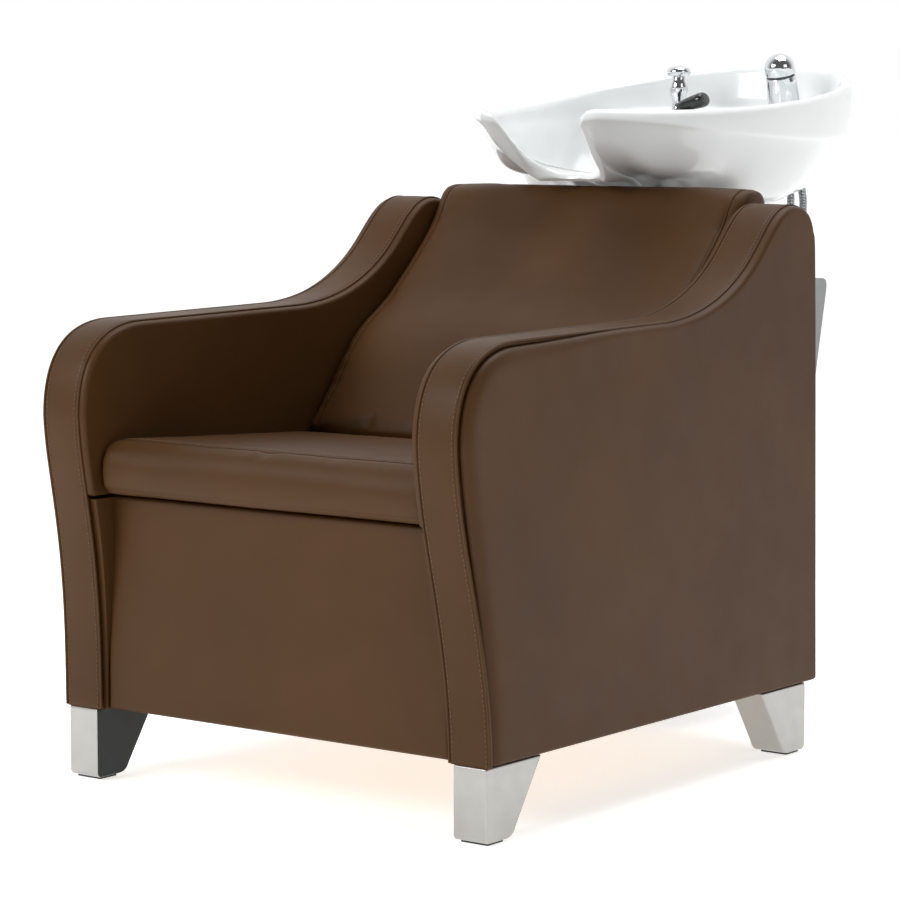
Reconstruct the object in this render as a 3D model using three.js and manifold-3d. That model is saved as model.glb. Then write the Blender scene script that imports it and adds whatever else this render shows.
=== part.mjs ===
// A shampoo backwash unit for a hair salon: an upholstered armchair with a tilting ceramic
// washbowl behind its back, carried by a plumbing console bolted to the chair.
// Millimetres, +Z up, +X across the chair, +Y from the front towards the bowl.
// The pieces are drawn with Y = 0 at the body's lower front edge; the finished group is then
// moved so that its origin is on the floor, under the centre of the whole unit.

import * as THREE from 'three';
import Module from 'manifold-3d';
import { LoftGeometry } from 'three/addons/geometries/LoftGeometry.js';
import { mergeVertices } from 'three/addons/utils/BufferGeometryUtils.js';

const wasm = await Module();
wasm.setup();

// ---------------------------------------------------------------- driving dimensions

const GAP = 0.3; // left between pieces that touch

// Armchair
const HALF_WIDTH = 360; // over the padded outer side panels
const LEG_HEIGHT = 99; // from the floor to the upholstered body
const ARM_INNER = 281; // |X| of the arm core's inner face
const ARM_OUTER = 347; // |X| of the arm core's outer face
const BAND_THICKNESS = 6; // boxing strip round the arm's edge
const ARM_FRONT = -52; // Y of the arm's front bulge
const BODY_REAR = 784; // Y of the body's lower rear edge
const CUSHION_HALF = 273; // |X| of the seat and back cushions
const SEAT_FRONT = -17;
const SEAT_REAR = 398;
const SEAT_BOTTOM = 396;
const SEAT_TOP_FRONT = 470;
const SEAT_TOP_REAR = 449;
const BOARD_THICKNESS = 18;
const APRON_THICKNESS = 18;
const BACK_THICKNESS = 80;

// Legs
const LEG_OUTER = 355; // |X| of a leg's outer face
const LEG_INNER = 303;
const LEG_TOP_LENGTH = 118;
const LEG_FOOT_LENGTH = 56;
const REAR_LEG_END = 760; // Y of the rear legs' vertical edge
const GLIDE_THICKNESS = 3;

// Plumbing console
const CONSOLE_HALF = 150;
const CONSOLE_TOP = 650;
const CONSOLE_BOTTOM = 130;
const CONSOLE_FRONT = 790.3;
const CONSOLE_TOP_REAR = 1155;
const CONSOLE_BOTTOM_REAR = 1039;
const SHEET = 3; // sheet metal thickness
const CORNER = 18; // radius of the console's upper rear corner

// Tilt mechanism
const PIVOT = { y: 880, z: 715 };
const PIN_RADIUS = 7.8;
const PIN_CLEARANCE = 0.4;
const STAND_EAR = { inner: 52, outer: 60 };
const CRADLE_EAR = { inner: 42, outer: 50 };
const CRADLE_TOP = 755;

// Washbowl
const DRAIN_Y = 960;
const BOWL_BOTTOM = 763; // underside around the drain
const BOWL_FLOOR = 780; // inside floor around the drain
const SADDLE_UNDERSIDE = 804; // underside over the chair's back
const SADDLE_FLOOR = 812.5; // inside floor behind the neck notch
const SADDLE_END = 800; // Y where the underside starts to drop behind the chair's back
const SADDLE_DROP = 50; // length over which it drops
const RIM_HALF_WIDTH = 212;
const RIM_TAPER = 0.3; // how much wider the rim's rear half is
const RIM_MIDDLE_Y = 885;
const RIM_HALF_LENGTH = 351;
const RIM_FRONT_Z = 910.9;
const RIM_SAG = -46;
const RIM_RISE = 106.7;
const RIM_START_Y = 533.4;
const RIM_LENGTH = 702.6;
const RIM_ROLL = 17; // width of the rolled rim
const NOTCH_ROLL = 10; // width of the rolled lip in the neck notch
const HORN_ANGLE = THREE.MathUtils.degToRad(144);
const HORN_REACH = 24; // how far the horn's tip runs on before it turns into the notch
const NOTCH = { y: 712, z: 816, shoulderX: 98, shoulderY: 706, shoulderZ: 800 };
const BAND_FRONT = 12; // height of the rim band at the horns
const BAND_REAR = 76; // height of the rim band at the rear
const DECK_Z = 898; // tap deck
const DECK_EDGE = 92; // from the drain's axis to the deck's front edge
const DECK_THICKNESS = 14;
const RECESS = { half: 121, front: 1070, rear: 1172, corner: 42 }; // hollow under the deck
const BOWL_WALL = 12;
const WALL_START = 0.33; // fraction of the way out where the floor begins to rise
const WALL_POWER = 2; // roundness of the wall
const FLANK_POWER = 4; // the same beside the neck, where the wall stands steeper
const DRAIN_RADIUS = 24.5;
const DRAIN_RIM_Z = BOWL_FLOOR + 4; // top of the drain flange
const WASTE_TAIL = 738; // lower end of the drain flange
const BOWL_STATIONS = 72;

// Fittings on the deck
const MIXER = { x: 91, y: 1122, holeRadius: 17 };
const MIXER_LEAN = THREE.MathUtils.degToRad(15);
const MIXER_SEAM = 64; // along the mixer's axis, from the deck to the lever's underside
const MIXER_DOME = 32; // from there to the top of the lever's dome
const LEVER_HEADING = THREE.MathUtils.degToRad(127); // which way the lever points, from +X
const BREAKER = { x: -100, y: 1115, holeRadius: 14 };
const SPRAY = { x: -70, y: 1080, holeRadius: 16 };

// Pipes
const TRAP = { y: DRAIN_Y, radius: 32, bottom: 470, top: 600 };
const WASTE = { y: 895, radius: 16, bore: 13, end: 120 };
const VALVE = { y: 990, z: 450, hotX: 62, coldX: 108, pipeRadius: 9, boreRadius: 6, end: 120 };
const HOSE_RADIUS = 6;

// The whole unit's middle in Y, which becomes the origin
const RIM_REAR = RIM_MIDDLE_Y + RIM_HALF_LENGTH + RIM_ROLL;
const MIDDLE_Y = (ARM_FRONT + RIM_REAR) / 2;

// ---------------------------------------------------------------- materials

function finish(color, roughness, metalness) {
  return new THREE.MeshStandardMaterial({ color, roughness, metalness });
}
const leather = () => finish(0x5c4432, 0.5, 0);
const foam = () => finish(0xc9b98f, 0.95, 0);
const timber = () => finish(0xa98a5b, 0.8, 0);
const satinAluminium = () => finish(0xdcdbd6, 0.35, 1);
const paintedSteel = () => finish(0x8a8a88, 0.45, 0.6);
const darkSteel = () => finish(0x4a4c50, 0.5, 0.7);
const chrome = () => finish(0xd8dadc, 0.08, 1);
const braidedSteel = () => finish(0xa7aaad, 0.3, 1);
const ceramic = () => finish(0xf6f7f6, 0.06, 0);
const blackPlastic = () => finish(0x151515, 0.35, 0);
const greyPlastic = () => finish(0x9a9c9c, 0.5, 0);
const rubber = () => finish(0x1c1c1c, 0.85, 0);

// ---------------------------------------------------------------- shape helpers

const unit = new THREE.Group();
unit.position.set(0, -MIDDLE_Y, 0);

function addPiece(name, geometry, material, parent = unit) {
  const mesh = new THREE.Mesh(geometry, material);
  mesh.name = name;
  parent.add(mesh);
  return mesh;
}

// An outline drawn as (Y, Z) becomes a solid from x0 to x1.
function extrudeAcross(outline, x0, x1, curveSegments = 6) {
  const geometry = new THREE.ExtrudeGeometry(outline, { depth: x1 - x0, bevelEnabled: false, curveSegments });
  const turned = new THREE.Matrix4().makeBasis(
    new THREE.Vector3(0, 1, 0),
    new THREE.Vector3(0, 0, 1),
    new THREE.Vector3(1, 0, 0),
  );
  return geometry.applyMatrix4(turned).translate(x0, 0, 0);
}

// An outline drawn as (X, Y) becomes a solid from z0 to z1.
function extrudeUp(outline, z0, z1, curveSegments = 6) {
  const geometry = new THREE.ExtrudeGeometry(outline, { depth: z1 - z0, bevelEnabled: false, curveSegments });
  return geometry.translate(0, 0, z0);
}

function box(x0, x1, y0, y1, z0, z1) {
  const geometry = new THREE.BoxGeometry(x1 - x0, y1 - y0, z1 - z0);
  return geometry.translate((x0 + x1) / 2, (y0 + y1) / 2, (z0 + z1) / 2);
}

// A round bar along X.
function barAcross(radius, x0, x1, y, z, sides = 24) {
  const geometry = new THREE.CylinderGeometry(radius, radius, x1 - x0, sides);
  return geometry.rotateZ(Math.PI / 2).translate((x0 + x1) / 2, y, z);
}

// A round bar along Y.
function barAlong(radius, x, y0, y1, z, sides = 20) {
  const geometry = new THREE.CylinderGeometry(radius, radius, y1 - y0, sides);
  return geometry.translate(x, (y0 + y1) / 2, z);
}

// A round bar along Z.
function barUp(radius, x, y, z0, z1, sides = 24) {
  const geometry = new THREE.CylinderGeometry(radius, radius, z1 - z0, sides);
  return geometry.rotateX(Math.PI / 2).translate(x, y, (z0 + z1) / 2);
}

// A turned piece: the profile is a list of (radius, height) points that starts and ends on the
// axis, or closes on itself. Its axis is +Z.
function turned(profile, sides = 24) {
  const points = profile.map(([radius, height]) => new THREE.Vector2(radius, height));
  if (THREE.ShapeUtils.area(points) < 0) points.reverse();
  return new THREE.LatheGeometry(points, sides).rotateX(Math.PI / 2);
}

// A round tube through the given points; a bore makes it hollow.
function tube(points, radius, steps, bore = 0, sides = 12) {
  const stops = points.map((point) => new THREE.Vector3(...point));
  const path = new THREE.CatmullRomCurve3(stops, false, 'centripetal');
  const section = new THREE.Shape().absarc(0, 0, radius, 0, Math.PI * 2);
  if (bore > 0) {
    section.holes.push(new THREE.Path().absarc(0, 0, bore, 0, Math.PI * 2, true));
  }
  return new THREE.ExtrudeGeometry(section, { steps, extrudePath: path, curveSegments: sides / 2 });
}

// A hexagonal nut with a round hole; radius is to its corners.
function hexNut(x, y, z0, z1, radius, hole) {
  const corners = [0, 1, 2, 3, 4, 5].map((i) => {
    const angle = (i * Math.PI) / 3;
    return new THREE.Vector2(radius * Math.cos(angle), radius * Math.sin(angle));
  });
  const outline = new THREE.Shape(corners);
  outline.holes.push(new THREE.Path().absarc(0, 0, hole, 0, Math.PI * 2, true));
  return extrudeUp(outline, z0, z1, 12).translate(x, y, 0);
}

function solid(geometry) {
  const bare = new THREE.BufferGeometry().copy(geometry);
  bare.deleteAttribute('normal');
  bare.deleteAttribute('uv');
  const merged = mergeVertices(bare, 1e-4);
  return new wasm.Manifold(new wasm.Mesh({
    numProp: 3,
    vertProperties: merged.attributes.position.array,
    triVerts: new Uint32Array(merged.index.array),
  }));
}

function geometryOf(manifold) {
  const mesh = manifold.getMesh();
  const geometry = new THREE.BufferGeometry();
  geometry.setAttribute('position', new THREE.Float32BufferAttribute(mesh.vertProperties, 3));
  geometry.setIndex(new THREE.Uint32BufferAttribute(mesh.triVerts, 1));
  return geometry;
}

function joined(...geometries) {
  return geometryOf(geometries.map(solid).reduce((sum, next) => sum.add(next)));
}

function cut(geometry, ...cutters) {
  return geometryOf(cutters.map(solid).reduce((rest, cutter) => rest.subtract(cutter), solid(geometry)));
}

function overlapOf(first, second) {
  return geometryOf(solid(first).intersect(solid(second)));
}

// Both sides of the chair: calls make(name, side) with side -1 (left) and +1 (right).
function onBothSides(make) {
  make('left', -1);
  make('right', 1);
}

// A span given in |X| on one side, as the low and the high X.
function span(side, inner, outer) {
  return side > 0 ? [inner, outer] : [-outer, -inner];
}

// ---------------------------------------------------------------- armchair

// The arm's side profile: up the bulging front, over the nose, along the armrest, up to the
// chair's back and down the rear.
function armProfile() {
  const path = new THREE.Path();
  path.moveTo(0, LEG_HEIGHT);
  path.bezierCurveTo(-2, 300, -46, 395, ARM_FRONT, 500);
  path.bezierCurveTo(ARM_FRONT, 580, -10, 625, 70, 626);
  path.lineTo(400, 630);
  path.bezierCurveTo(500, 632, 575, 668, 620, 712);
  path.bezierCurveTo(655, 746, 676, 777, 716, 777);
  path.bezierCurveTo(752, 777, 768, 745, 770, 700);
  path.lineTo(BODY_REAR, LEG_HEIGHT);
  return path.getPoints(8);
}

// The same profile drawn a distance inside itself, with its ends still on the lower edge.
function armProfileInside(distance) {
  const points = armProfile();
  return points.map((point, index) => {
    const before = points[Math.max(index - 1, 0)];
    const after = points[Math.min(index + 1, points.length - 1)];
    const along = after.clone().sub(before).normalize();
    const inward = new THREE.Vector2(along.y, -along.x);
    const moved = point.clone().addScaledVector(inward, distance);
    moved.y = Math.max(moved.y, LEG_HEIGHT);
    return moved;
  });
}

function addArms() {
  const coreOutline = new THREE.Shape(armProfileInside(BAND_THICKNESS + GAP));
  const padOutline = new THREE.Shape(armProfileInside(BAND_THICKNESS + 4));
  const bandOutline = new THREE.Shape([...armProfile(), ...armProfileInside(BAND_THICKNESS).reverse()]);
  const aboveApron = box(-HALF_WIDTH, HALF_WIDTH, ARM_FRONT, BODY_REAR, SEAT_BOTTOM - 2, 800);
  onBothSides((name, side) => {
    addPiece(`arm_core_${name}`, extrudeAcross(coreOutline, ...span(side, ARM_INNER, ARM_OUTER)), foam());
    addPiece(`arm_band_${name}`, extrudeAcross(bandOutline, ...span(side, ARM_INNER, ARM_OUTER)), leather());
    const outerPad = extrudeAcross(padOutline, ...span(side, ARM_OUTER + GAP, HALF_WIDTH));
    addPiece(`outer_panel_${name}`, outerPad, leather());
    const innerPad = extrudeAcross(padOutline, ...span(side, CUSHION_HALF + GAP, ARM_INNER - GAP));
    addPiece(`inner_panel_${name}`, overlapOf(innerPad, aboveApron), leather());
  });
}

function addSeat() {
  const cushion = new THREE.Shape();
  cushion.moveTo(SEAT_FRONT, SEAT_BOTTOM + 10);
  cushion.lineTo(SEAT_FRONT, SEAT_TOP_FRONT - 16);
  cushion.quadraticCurveTo(SEAT_FRONT, SEAT_TOP_FRONT, SEAT_FRONT + 16, SEAT_TOP_FRONT);
  cushion.lineTo(SEAT_REAR, SEAT_TOP_REAR);
  cushion.lineTo(SEAT_REAR, SEAT_BOTTOM);
  cushion.lineTo(SEAT_FRONT + 10, SEAT_BOTTOM);
  cushion.quadraticCurveTo(SEAT_FRONT, SEAT_BOTTOM, SEAT_FRONT, SEAT_BOTTOM + 10);
  addPiece('seat_cushion', extrudeAcross(cushion, -CUSHION_HALF, CUSHION_HALF), leather());

  const boardTop = SEAT_BOTTOM - 2;
  const boardBottom = boardTop - BOARD_THICKNESS;
  const boardFront = APRON_THICKNESS + 4;
  addPiece('seat_board', box(-CUSHION_HALF, CUSHION_HALF, boardFront, 440, boardBottom, boardTop), timber());

  const railHalf = ARM_INNER - GAP;
  const railTop = boardBottom - GAP;
  const rail = (front) => box(-railHalf, railHalf, front, front + 24, railTop - 70, railTop);
  addPiece('seat_rail_front', rail(boardFront), timber());
  addPiece('seat_rail_rear', rail(412), timber());
}

function addBack() {
  const cushion = new THREE.Shape();
  cushion.moveTo(402, 450);
  const frontFace = [[477, 545], [523, 591], [594, 642], [679, 723], [718, 776]];
  cushion.splineThru(frontFace.map(([y, z]) => new THREE.Vector2(y, z)));
  cushion.quadraticCurveTo(732, 796, 750, 796);
  cushion.quadraticCurveTo(783, 796, 783, 762);
  cushion.lineTo(783, 702);
  cushion.lineTo(764, 702);
  cushion.lineTo(402 + BACK_THICKNESS * 0.7, 450 - BACK_THICKNESS * 0.7);
  addPiece('back_cushion', extrudeAcross(cushion, -CUSHION_HALF, CUSHION_HALF, 4), leather());

  const board = new THREE.Shape();
  board.moveTo(462, 393);
  board.lineTo(764, 683);
  board.lineTo(764, 658);
  board.lineTo(474, 380);
  addPiece('back_board', extrudeAcross(board, -CUSHION_HALF, CUSHION_HALF), timber());
}

function addBodyPanels() {
  const half = ARM_INNER - GAP;
  const base = LEG_HEIGHT + GAP;
  addPiece('front_apron', box(-half, half, 2, 2 + APRON_THICKNESS, base, SEAT_BOTTOM - 2), leather());
  addPiece('rear_panel', box(-CUSHION_HALF, CUSHION_HALF, 766, 783, base, 700), leather());
  addPiece('base_board', box(-half, half, 21, 765, base, base + BOARD_THICKNESS), timber());
}

// A wedge-shaped leg: one edge upright, the other sloping, with rounded lower corners.
// front and rear legs mirror each other along Y.
function addLeg(name, side, uprightY, direction) {
  const outline = new THREE.Shape();
  const at = (along) => uprightY + direction * along;
  const top = LEG_HEIGHT - GAP;
  const foot = GLIDE_THICKNESS + GAP;
  outline.moveTo(at(0), top);
  outline.lineTo(at(0), foot + 8);
  outline.quadraticCurveTo(at(0), foot, at(8), foot);
  outline.lineTo(at(LEG_FOOT_LENGTH - 14), foot);
  outline.quadraticCurveTo(at(LEG_FOOT_LENGTH), foot, at(LEG_FOOT_LENGTH + 8), foot + 14);
  outline.lineTo(at(LEG_TOP_LENGTH), top);
  addPiece(`leg_${name}`, extrudeAcross(outline, ...span(side, LEG_INNER, LEG_OUTER)), satinAluminium());

  const ends = [at(10), at(LEG_FOOT_LENGTH - 14)].sort((a, b) => a - b);
  const pad = box(...span(side, LEG_INNER + 5, LEG_OUTER - 5), ...ends, 0, GLIDE_THICKNESS);
  addPiece(`glide_${name}`, pad, rubber());
}

function addLegs() {
  onBothSides((name, side) => {
    addLeg(`front_${name}`, side, 0, 1);
    addLeg(`rear_${name}`, side, REAR_LEG_END, -1);
  });
}

// ---------------------------------------------------------------- plumbing console

const LEAN = Math.atan2(CONSOLE_TOP_REAR - CONSOLE_BOTTOM_REAR, CONSOLE_TOP - CONSOLE_BOTTOM);

// The console's side profile; inset draws its inner wall, and open carries that past the
// console's front and bottom, which have no wall.
function consoleProfile(inset, open) {
  const front = CONSOLE_FRONT - open;
  const bottom = CONSOLE_BOTTOM - open;
  const top = CONSOLE_TOP - inset;
  const rearAt = (z) => CONSOLE_BOTTOM_REAR + (z - CONSOLE_BOTTOM) * Math.tan(LEAN) - inset / Math.cos(LEAN);
  const radius = CORNER - inset;
  const outline = new THREE.Shape();
  outline.moveTo(front, bottom);
  outline.lineTo(rearAt(bottom), bottom);
  outline.lineTo(rearAt(top - radius), top - radius);
  outline.quadraticCurveTo(rearAt(top), top, rearAt(top) - radius, top);
  outline.lineTo(front, top);
  return outline;
}

// The service door lies in the leaning rear wall. This group's local X is across, local Z is up
// the wall and local Y points out of it; its origin is at the wall's lower edge.
const doorFrame = new THREE.Group();
doorFrame.position.set(0, CONSOLE_BOTTOM_REAR, CONSOLE_BOTTOM);
doorFrame.rotation.x = -LEAN;
unit.add(doorFrame);

const DOOR = { halfWidth: 112, low: 50, high: 400, gap: 2 };
const HINGE = { x: -(DOOR.halfWidth + 6), out: 6, radius: 5, half: 25 };
const LATCH = { x: 92, up: 240, radius: 11 };

function addConsole() {
  const outer = extrudeAcross(consoleProfile(0, 0), -CONSOLE_HALF, CONSOLE_HALF);
  const inner = extrudeAcross(consoleProfile(SHEET, 10), -(CONSOLE_HALF - SHEET), CONSOLE_HALF - SHEET);
  const hoseOpening = box(-120, 120, 925, 1130, CONSOLE_TOP - 10, CONSOLE_TOP + 10);
  const doorOpening = box(-DOOR.halfWidth, DOOR.halfWidth, -20, 20, DOOR.low, DOOR.high);
  doorFrame.updateMatrix();
  doorOpening.applyMatrix4(doorFrame.matrix);
  addPiece('console_shell', cut(outer, inner, hoseOpening, doorOpening), paintedSteel());

  const edge = DOOR.halfWidth - DOOR.gap;
  const panel = box(-edge, edge, -SHEET, 0, DOOR.low + DOOR.gap, DOOR.high - DOOR.gap);
  const hinges = [DOOR.low + 60, DOOR.high - 60].flatMap((up) => [
    barUp(HINGE.radius, HINGE.x, HINGE.out, up - HINGE.half, up + HINGE.half, 12),
    box(HINGE.x, 12 - edge, -0.5, 2, up - HINGE.half, up + HINGE.half),
  ]);
  const wallFace = box(-CONSOLE_HALF, -DOOR.halfWidth + GAP, -SHEET, GAP, DOOR.low, DOOR.high);
  addPiece('console_door', cut(joined(panel, ...hinges), wallFace), paintedSteel(), doorFrame);

  const knob = turned([[0, 0.4], [LATCH.radius, 0.4], [LATCH.radius, 6], [LATCH.radius - 2, 8], [0, 8]], 20);
  const slot = box(-LATCH.radius, LATCH.radius, -1.2, 1.2, 6, 10);
  const latch = cut(knob, slot).rotateX(-Math.PI / 2).translate(LATCH.x, 0, LATCH.up);
  addPiece('door_latch', latch, chrome(), doorFrame);
}

function addConsoleFrame() {
  const plateRear = CONSOLE_FRONT - GAP;
  addPiece('mounting_plate', box(-140, 140, BODY_REAR + GAP, plateRear, 200, 640), darkSteel());

  const gusset = new THREE.Shape();
  gusset.moveTo(CONSOLE_FRONT, 639.7);
  gusset.lineTo(1090, 639.7);
  gusset.lineTo(1090, 615);
  gusset.lineTo(830, 330);
  gusset.lineTo(CONSOLE_FRONT, 330);
  onBothSides((name, side) => {
    addPiece(`gusset_${name}`, extrudeAcross(gusset, ...span(side, 124, 132)), darkSteel());
  });
  addPiece('carrier_plate', box(-140, 140, CONSOLE_FRONT, 918, 640, CONSOLE_TOP - SHEET - GAP), darkSteel());
}

// ---------------------------------------------------------------- tilt mechanism

// An upright ear with a round head and a hole for the pivot pin.
function ear(x0, x1, halfWidth, footZ, holeRadius) {
  const outline = new THREE.Shape();
  outline.moveTo(PIVOT.y - halfWidth, footZ);
  outline.lineTo(PIVOT.y + halfWidth, footZ);
  if (footZ < PIVOT.z) {
    outline.lineTo(PIVOT.y + halfWidth, PIVOT.z);
    outline.absarc(PIVOT.y, PIVOT.z, halfWidth, 0, Math.PI);
  } else {
    outline.lineTo(PIVOT.y + halfWidth, PIVOT.z);
    outline.absarc(PIVOT.y, PIVOT.z, halfWidth, 0, -Math.PI, true);
  }
  const plate = extrudeAcross(outline, x0, x1, 8);
  const hole = barAcross(holeRadius, x0 - 1, x1 + 1, PIVOT.y, PIVOT.z);
  return cut(plate, hole);
}

function addTiltMechanism() {
  const standBase = box(-STAND_EAR.outer, STAND_EAR.outer, 848, 914, CONSOLE_TOP + GAP, 656);
  const hole = PIN_RADIUS + PIN_CLEARANCE;
  const standEars = [-1, 1].map((side) => ear(
    ...span(side, STAND_EAR.inner, STAND_EAR.outer), 18, CONSOLE_TOP + 5, hole,
  ));
  addPiece('pivot_stand', joined(standBase, ...standEars), darkSteel());
  addPiece('pivot_pin', barAcross(PIN_RADIUS, -66, 61, PIVOT.y, PIVOT.z), chrome());

  const plate = box(-75, 75, 852, 1050, CRADLE_TOP - 6, CRADLE_TOP);
  const cradleEars = [-1, 1].map((side) => ear(
    ...span(side, CRADLE_EAR.inner, CRADLE_EAR.outer), 17, CRADLE_TOP - 5, hole,
  ));
  const wasteHole = barUp(42, 0, DRAIN_Y, CRADLE_TOP - 20, CRADLE_TOP + 20);
  addPiece('bowl_cradle', cut(joined(plate, ...cradleEars), wasteHole), darkSteel());
  const pad = box(-75, 75, 862, 1045, CRADLE_TOP + GAP, BOWL_BOTTOM - GAP);
  addPiece('cradle_pad', cut(pad, wasteHole), rubber());

  const hub = barAcross(13, 61.5, 76, PIVOT.y, PIVOT.z);
  const arm = box(65, 73, PIVOT.y, PIVOT.y + 66, PIVOT.z - 6, PIVOT.z + 6);
  const knob = new THREE.SphereGeometry(9, 16, 10).translate(69, PIVOT.y + 70, PIVOT.z);
  addPiece('tilt_lock_lever', joined(hub, arm, knob), blackPlastic());
}

// ---------------------------------------------------------------- washbowl

const smooth = (t) => THREE.MathUtils.smoothstep(t, 0, 1);
const mix = THREE.MathUtils.lerp;

function rimHeight(y) {
  const q = (y - RIM_START_Y) / RIM_LENGTH;
  return RIM_FRONT_Z + RIM_SAG * q + RIM_RISE * q * q;
}

// The rim from the rear (t = 0) round one side towards the horn.
function rimSide(t) {
  const x = RIM_HALF_WIDTH * Math.sin(t) * (1 + RIM_TAPER * Math.cos(t));
  const y = RIM_MIDDLE_Y + RIM_HALF_LENGTH * Math.cos(t);
  return new THREE.Vector3(x, y, rimHeight(y));
}

// From the horn's tip down into the neck notch and to its middle.
function notchCurve() {
  const horn = rimSide(HORN_ANGLE);
  const heading = horn.clone().sub(rimSide(HORN_ANGLE - 0.01)).normalize();
  const tip = horn.clone().addScaledVector(heading, HORN_REACH);
  const shoulder = new THREE.Vector3(NOTCH.shoulderX, NOTCH.shoulderY, NOTCH.shoulderZ);
  return new THREE.CubicBezierCurve3(horn, tip, shoulder, new THREE.Vector3(0, NOTCH.y, NOTCH.z));
}

// Rim points with their outward direction in plan, from the rear all the way round.
function rimStations() {
  const notch = notchCurve();
  const sidePart = 0.7;
  const half = BOWL_STATIONS / 2;
  const onRim = (fraction) => (fraction <= sidePart
    ? rimSide((fraction / sidePart) * HORN_ANGLE)
    : notch.getPointAt((fraction - sidePart) / (1 - sidePart)));
  const stations = [];
  for (let i = 0; i < BOWL_STATIONS; i += 1) {
    const mirrored = i > half;
    const fraction = (mirrored ? BOWL_STATIONS - i : i) / half;
    const point = onRim(fraction);
    const before = onRim(Math.max(fraction - 0.01, 0));
    const after = onRim(Math.min(fraction + 0.01, 1));
    const out = new THREE.Vector2(-(after.y - before.y), after.x - before.x).normalize();
    if (mirrored) {
      point.x *= -1;
      out.x *= -1;
    }
    if (i === 0) out.set(0, 1);
    if (i === half) out.set(0, -1);
    stations.push({ point, out, inNotch: smooth((fraction - sidePart - 0.1) / 0.08) });
  }
  return stations;
}

// How far the underside has dropped behind the chair's back: 0 over it, 1 well behind it.
const dropAt = (y) => smooth((y - SADDLE_END) / SADDLE_DROP);
const undersideAt = (y) => mix(SADDLE_UNDERSIDE, BOWL_BOTTOM, dropAt(y));
const floorAt = (y) => mix(SADDLE_FLOOR, BOWL_FLOOR, dropAt(y));

// The wall's height between floor (0) and rim (1) at a fraction of the way out to the rim: a
// superellipse's quarter, flat in the middle and upright at the rim. A higher power is fuller.
function wallRise(fraction, power) {
  const along = THREE.MathUtils.clamp((fraction - WALL_START) / (1 - WALL_START), 0, 1);
  return 1 - Math.pow(1 - Math.pow(along, power), 1 / power);
}

// The height of the outer band under the rim, which grows towards the rear.
const bandHeight = (y) => mix(BAND_FRONT, BAND_REAR, smooth((y - 560) / 640));

// 1 on the bowl's flanks, 0 straight ahead of the drain and towards its rear.
const besideNeck = (rearward) => smooth((0.96 + rearward) / 0.1) * smooth((0.3 - rearward) / 0.5);

// The bowl's sections are rings round the drain: up the inside, over the rolled rim and back
// down the outside.
function bowlSections() {
  const wallFractions = [0.45, 0.6, 0.74, 0.84, 0.92, 0.975];
  const rings = [];
  const stations = rimStations().map(({ point, out, inNotch }) => {
    const fromDrain = new THREE.Vector2(point.x, point.y - DRAIN_Y);
    const distance = fromDrain.length();
    const direction = fromDrain.clone().normalize();
    const rearward = direction.y;
    return {
      point,
      out,
      distance,
      direction,
      deck: smooth((rearward - 0.2) / 0.35),
      band: Math.min(bandHeight(point.y), point.z - SADDLE_UNDERSIDE - 4),
      deckEdge: DECK_EDGE + 70 * (1 - rearward),
      roll: mix(RIM_ROLL, NOTCH_ROLL, inNotch),
      power: mix(WALL_POWER, FLANK_POWER, besideNeck(rearward)),
    };
  });
  const addRing = (place) => rings.push(stations.map(place));
  const fromDrain = (station, radius, heightAt) => {
    const x = station.direction.x * radius;
    const y = DRAIN_Y + station.direction.y * radius;
    return new THREE.Vector3(x, y, heightAt(y));
  };
  const beyondRim = (station, distance, dz) => new THREE.Vector3(
    station.point.x + station.out.x * distance,
    station.point.y + station.out.y * distance,
    station.point.z + dz,
  );

  // inside: floor, wall and tap deck
  addRing((s) => fromDrain(s, DRAIN_RADIUS, () => BOWL_FLOOR));
  addRing((s) => fromDrain(s, 60, () => BOWL_FLOOR + 1));
  const deckRadii = (s) => [
    s.deckEdge - 16, s.deckEdge - 4, s.deckEdge + 2, s.deckEdge + 14,
    mix(s.deckEdge, s.distance, 0.6), s.distance - 16,
  ];
  const deckHeights = [BOWL_FLOOR + 12, BOWL_FLOOR + 60, DECK_Z - 14, DECK_Z, DECK_Z, DECK_Z + 1];
  wallFractions.forEach((fraction, index) => addRing((s) => {
    const rise = wallRise(fraction, s.power);
    const wall = fromDrain(s, fraction * s.distance, (y) => mix(floorAt(y), s.point.z, rise));
    const deck = fromDrain(s, deckRadii(s)[index], () => deckHeights[index]);
    return wall.lerp(deck, s.deck);
  }));
  addRing((s) => beyondRim(s, -4, mix(-8, -24, s.deck) * Math.min(1, (s.point.z - NOTCH.z + 10) / 60)));

  // rolled rim and outer band
  addRing((s) => beyondRim(s, 0, -1));
  addRing((s) => beyondRim(s, s.roll * 0.4, 2));
  addRing((s) => beyondRim(s, s.roll * 0.82, -2));
  addRing((s) => beyondRim(s, s.roll, -8));
  addRing((s) => beyondRim(s, s.roll - 1, -s.band));
  addRing((s) => beyondRim(s, s.roll - 6, -s.band - 4));

  // outside wall and underside
  [...wallFractions].reverse().forEach((fraction) => addRing((s) => {
    const radius = BOWL_WALL + fraction * (s.distance - 2);
    const lowRim = s.point.z - s.band - 4;
    return fromDrain(s, radius, (y) => Math.min(
      mix(undersideAt(y), Math.max(lowRim, undersideAt(y)), wallRise(fraction + 0.02, s.power)),
      lowRim,
    ));
  }));
  addRing((s) => fromDrain(s, 60, () => BOWL_BOTTOM));
  addRing((s) => fromDrain(s, DRAIN_RADIUS, () => BOWL_BOTTOM));
  rings.push(rings[0]);
  return rings;
}

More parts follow.
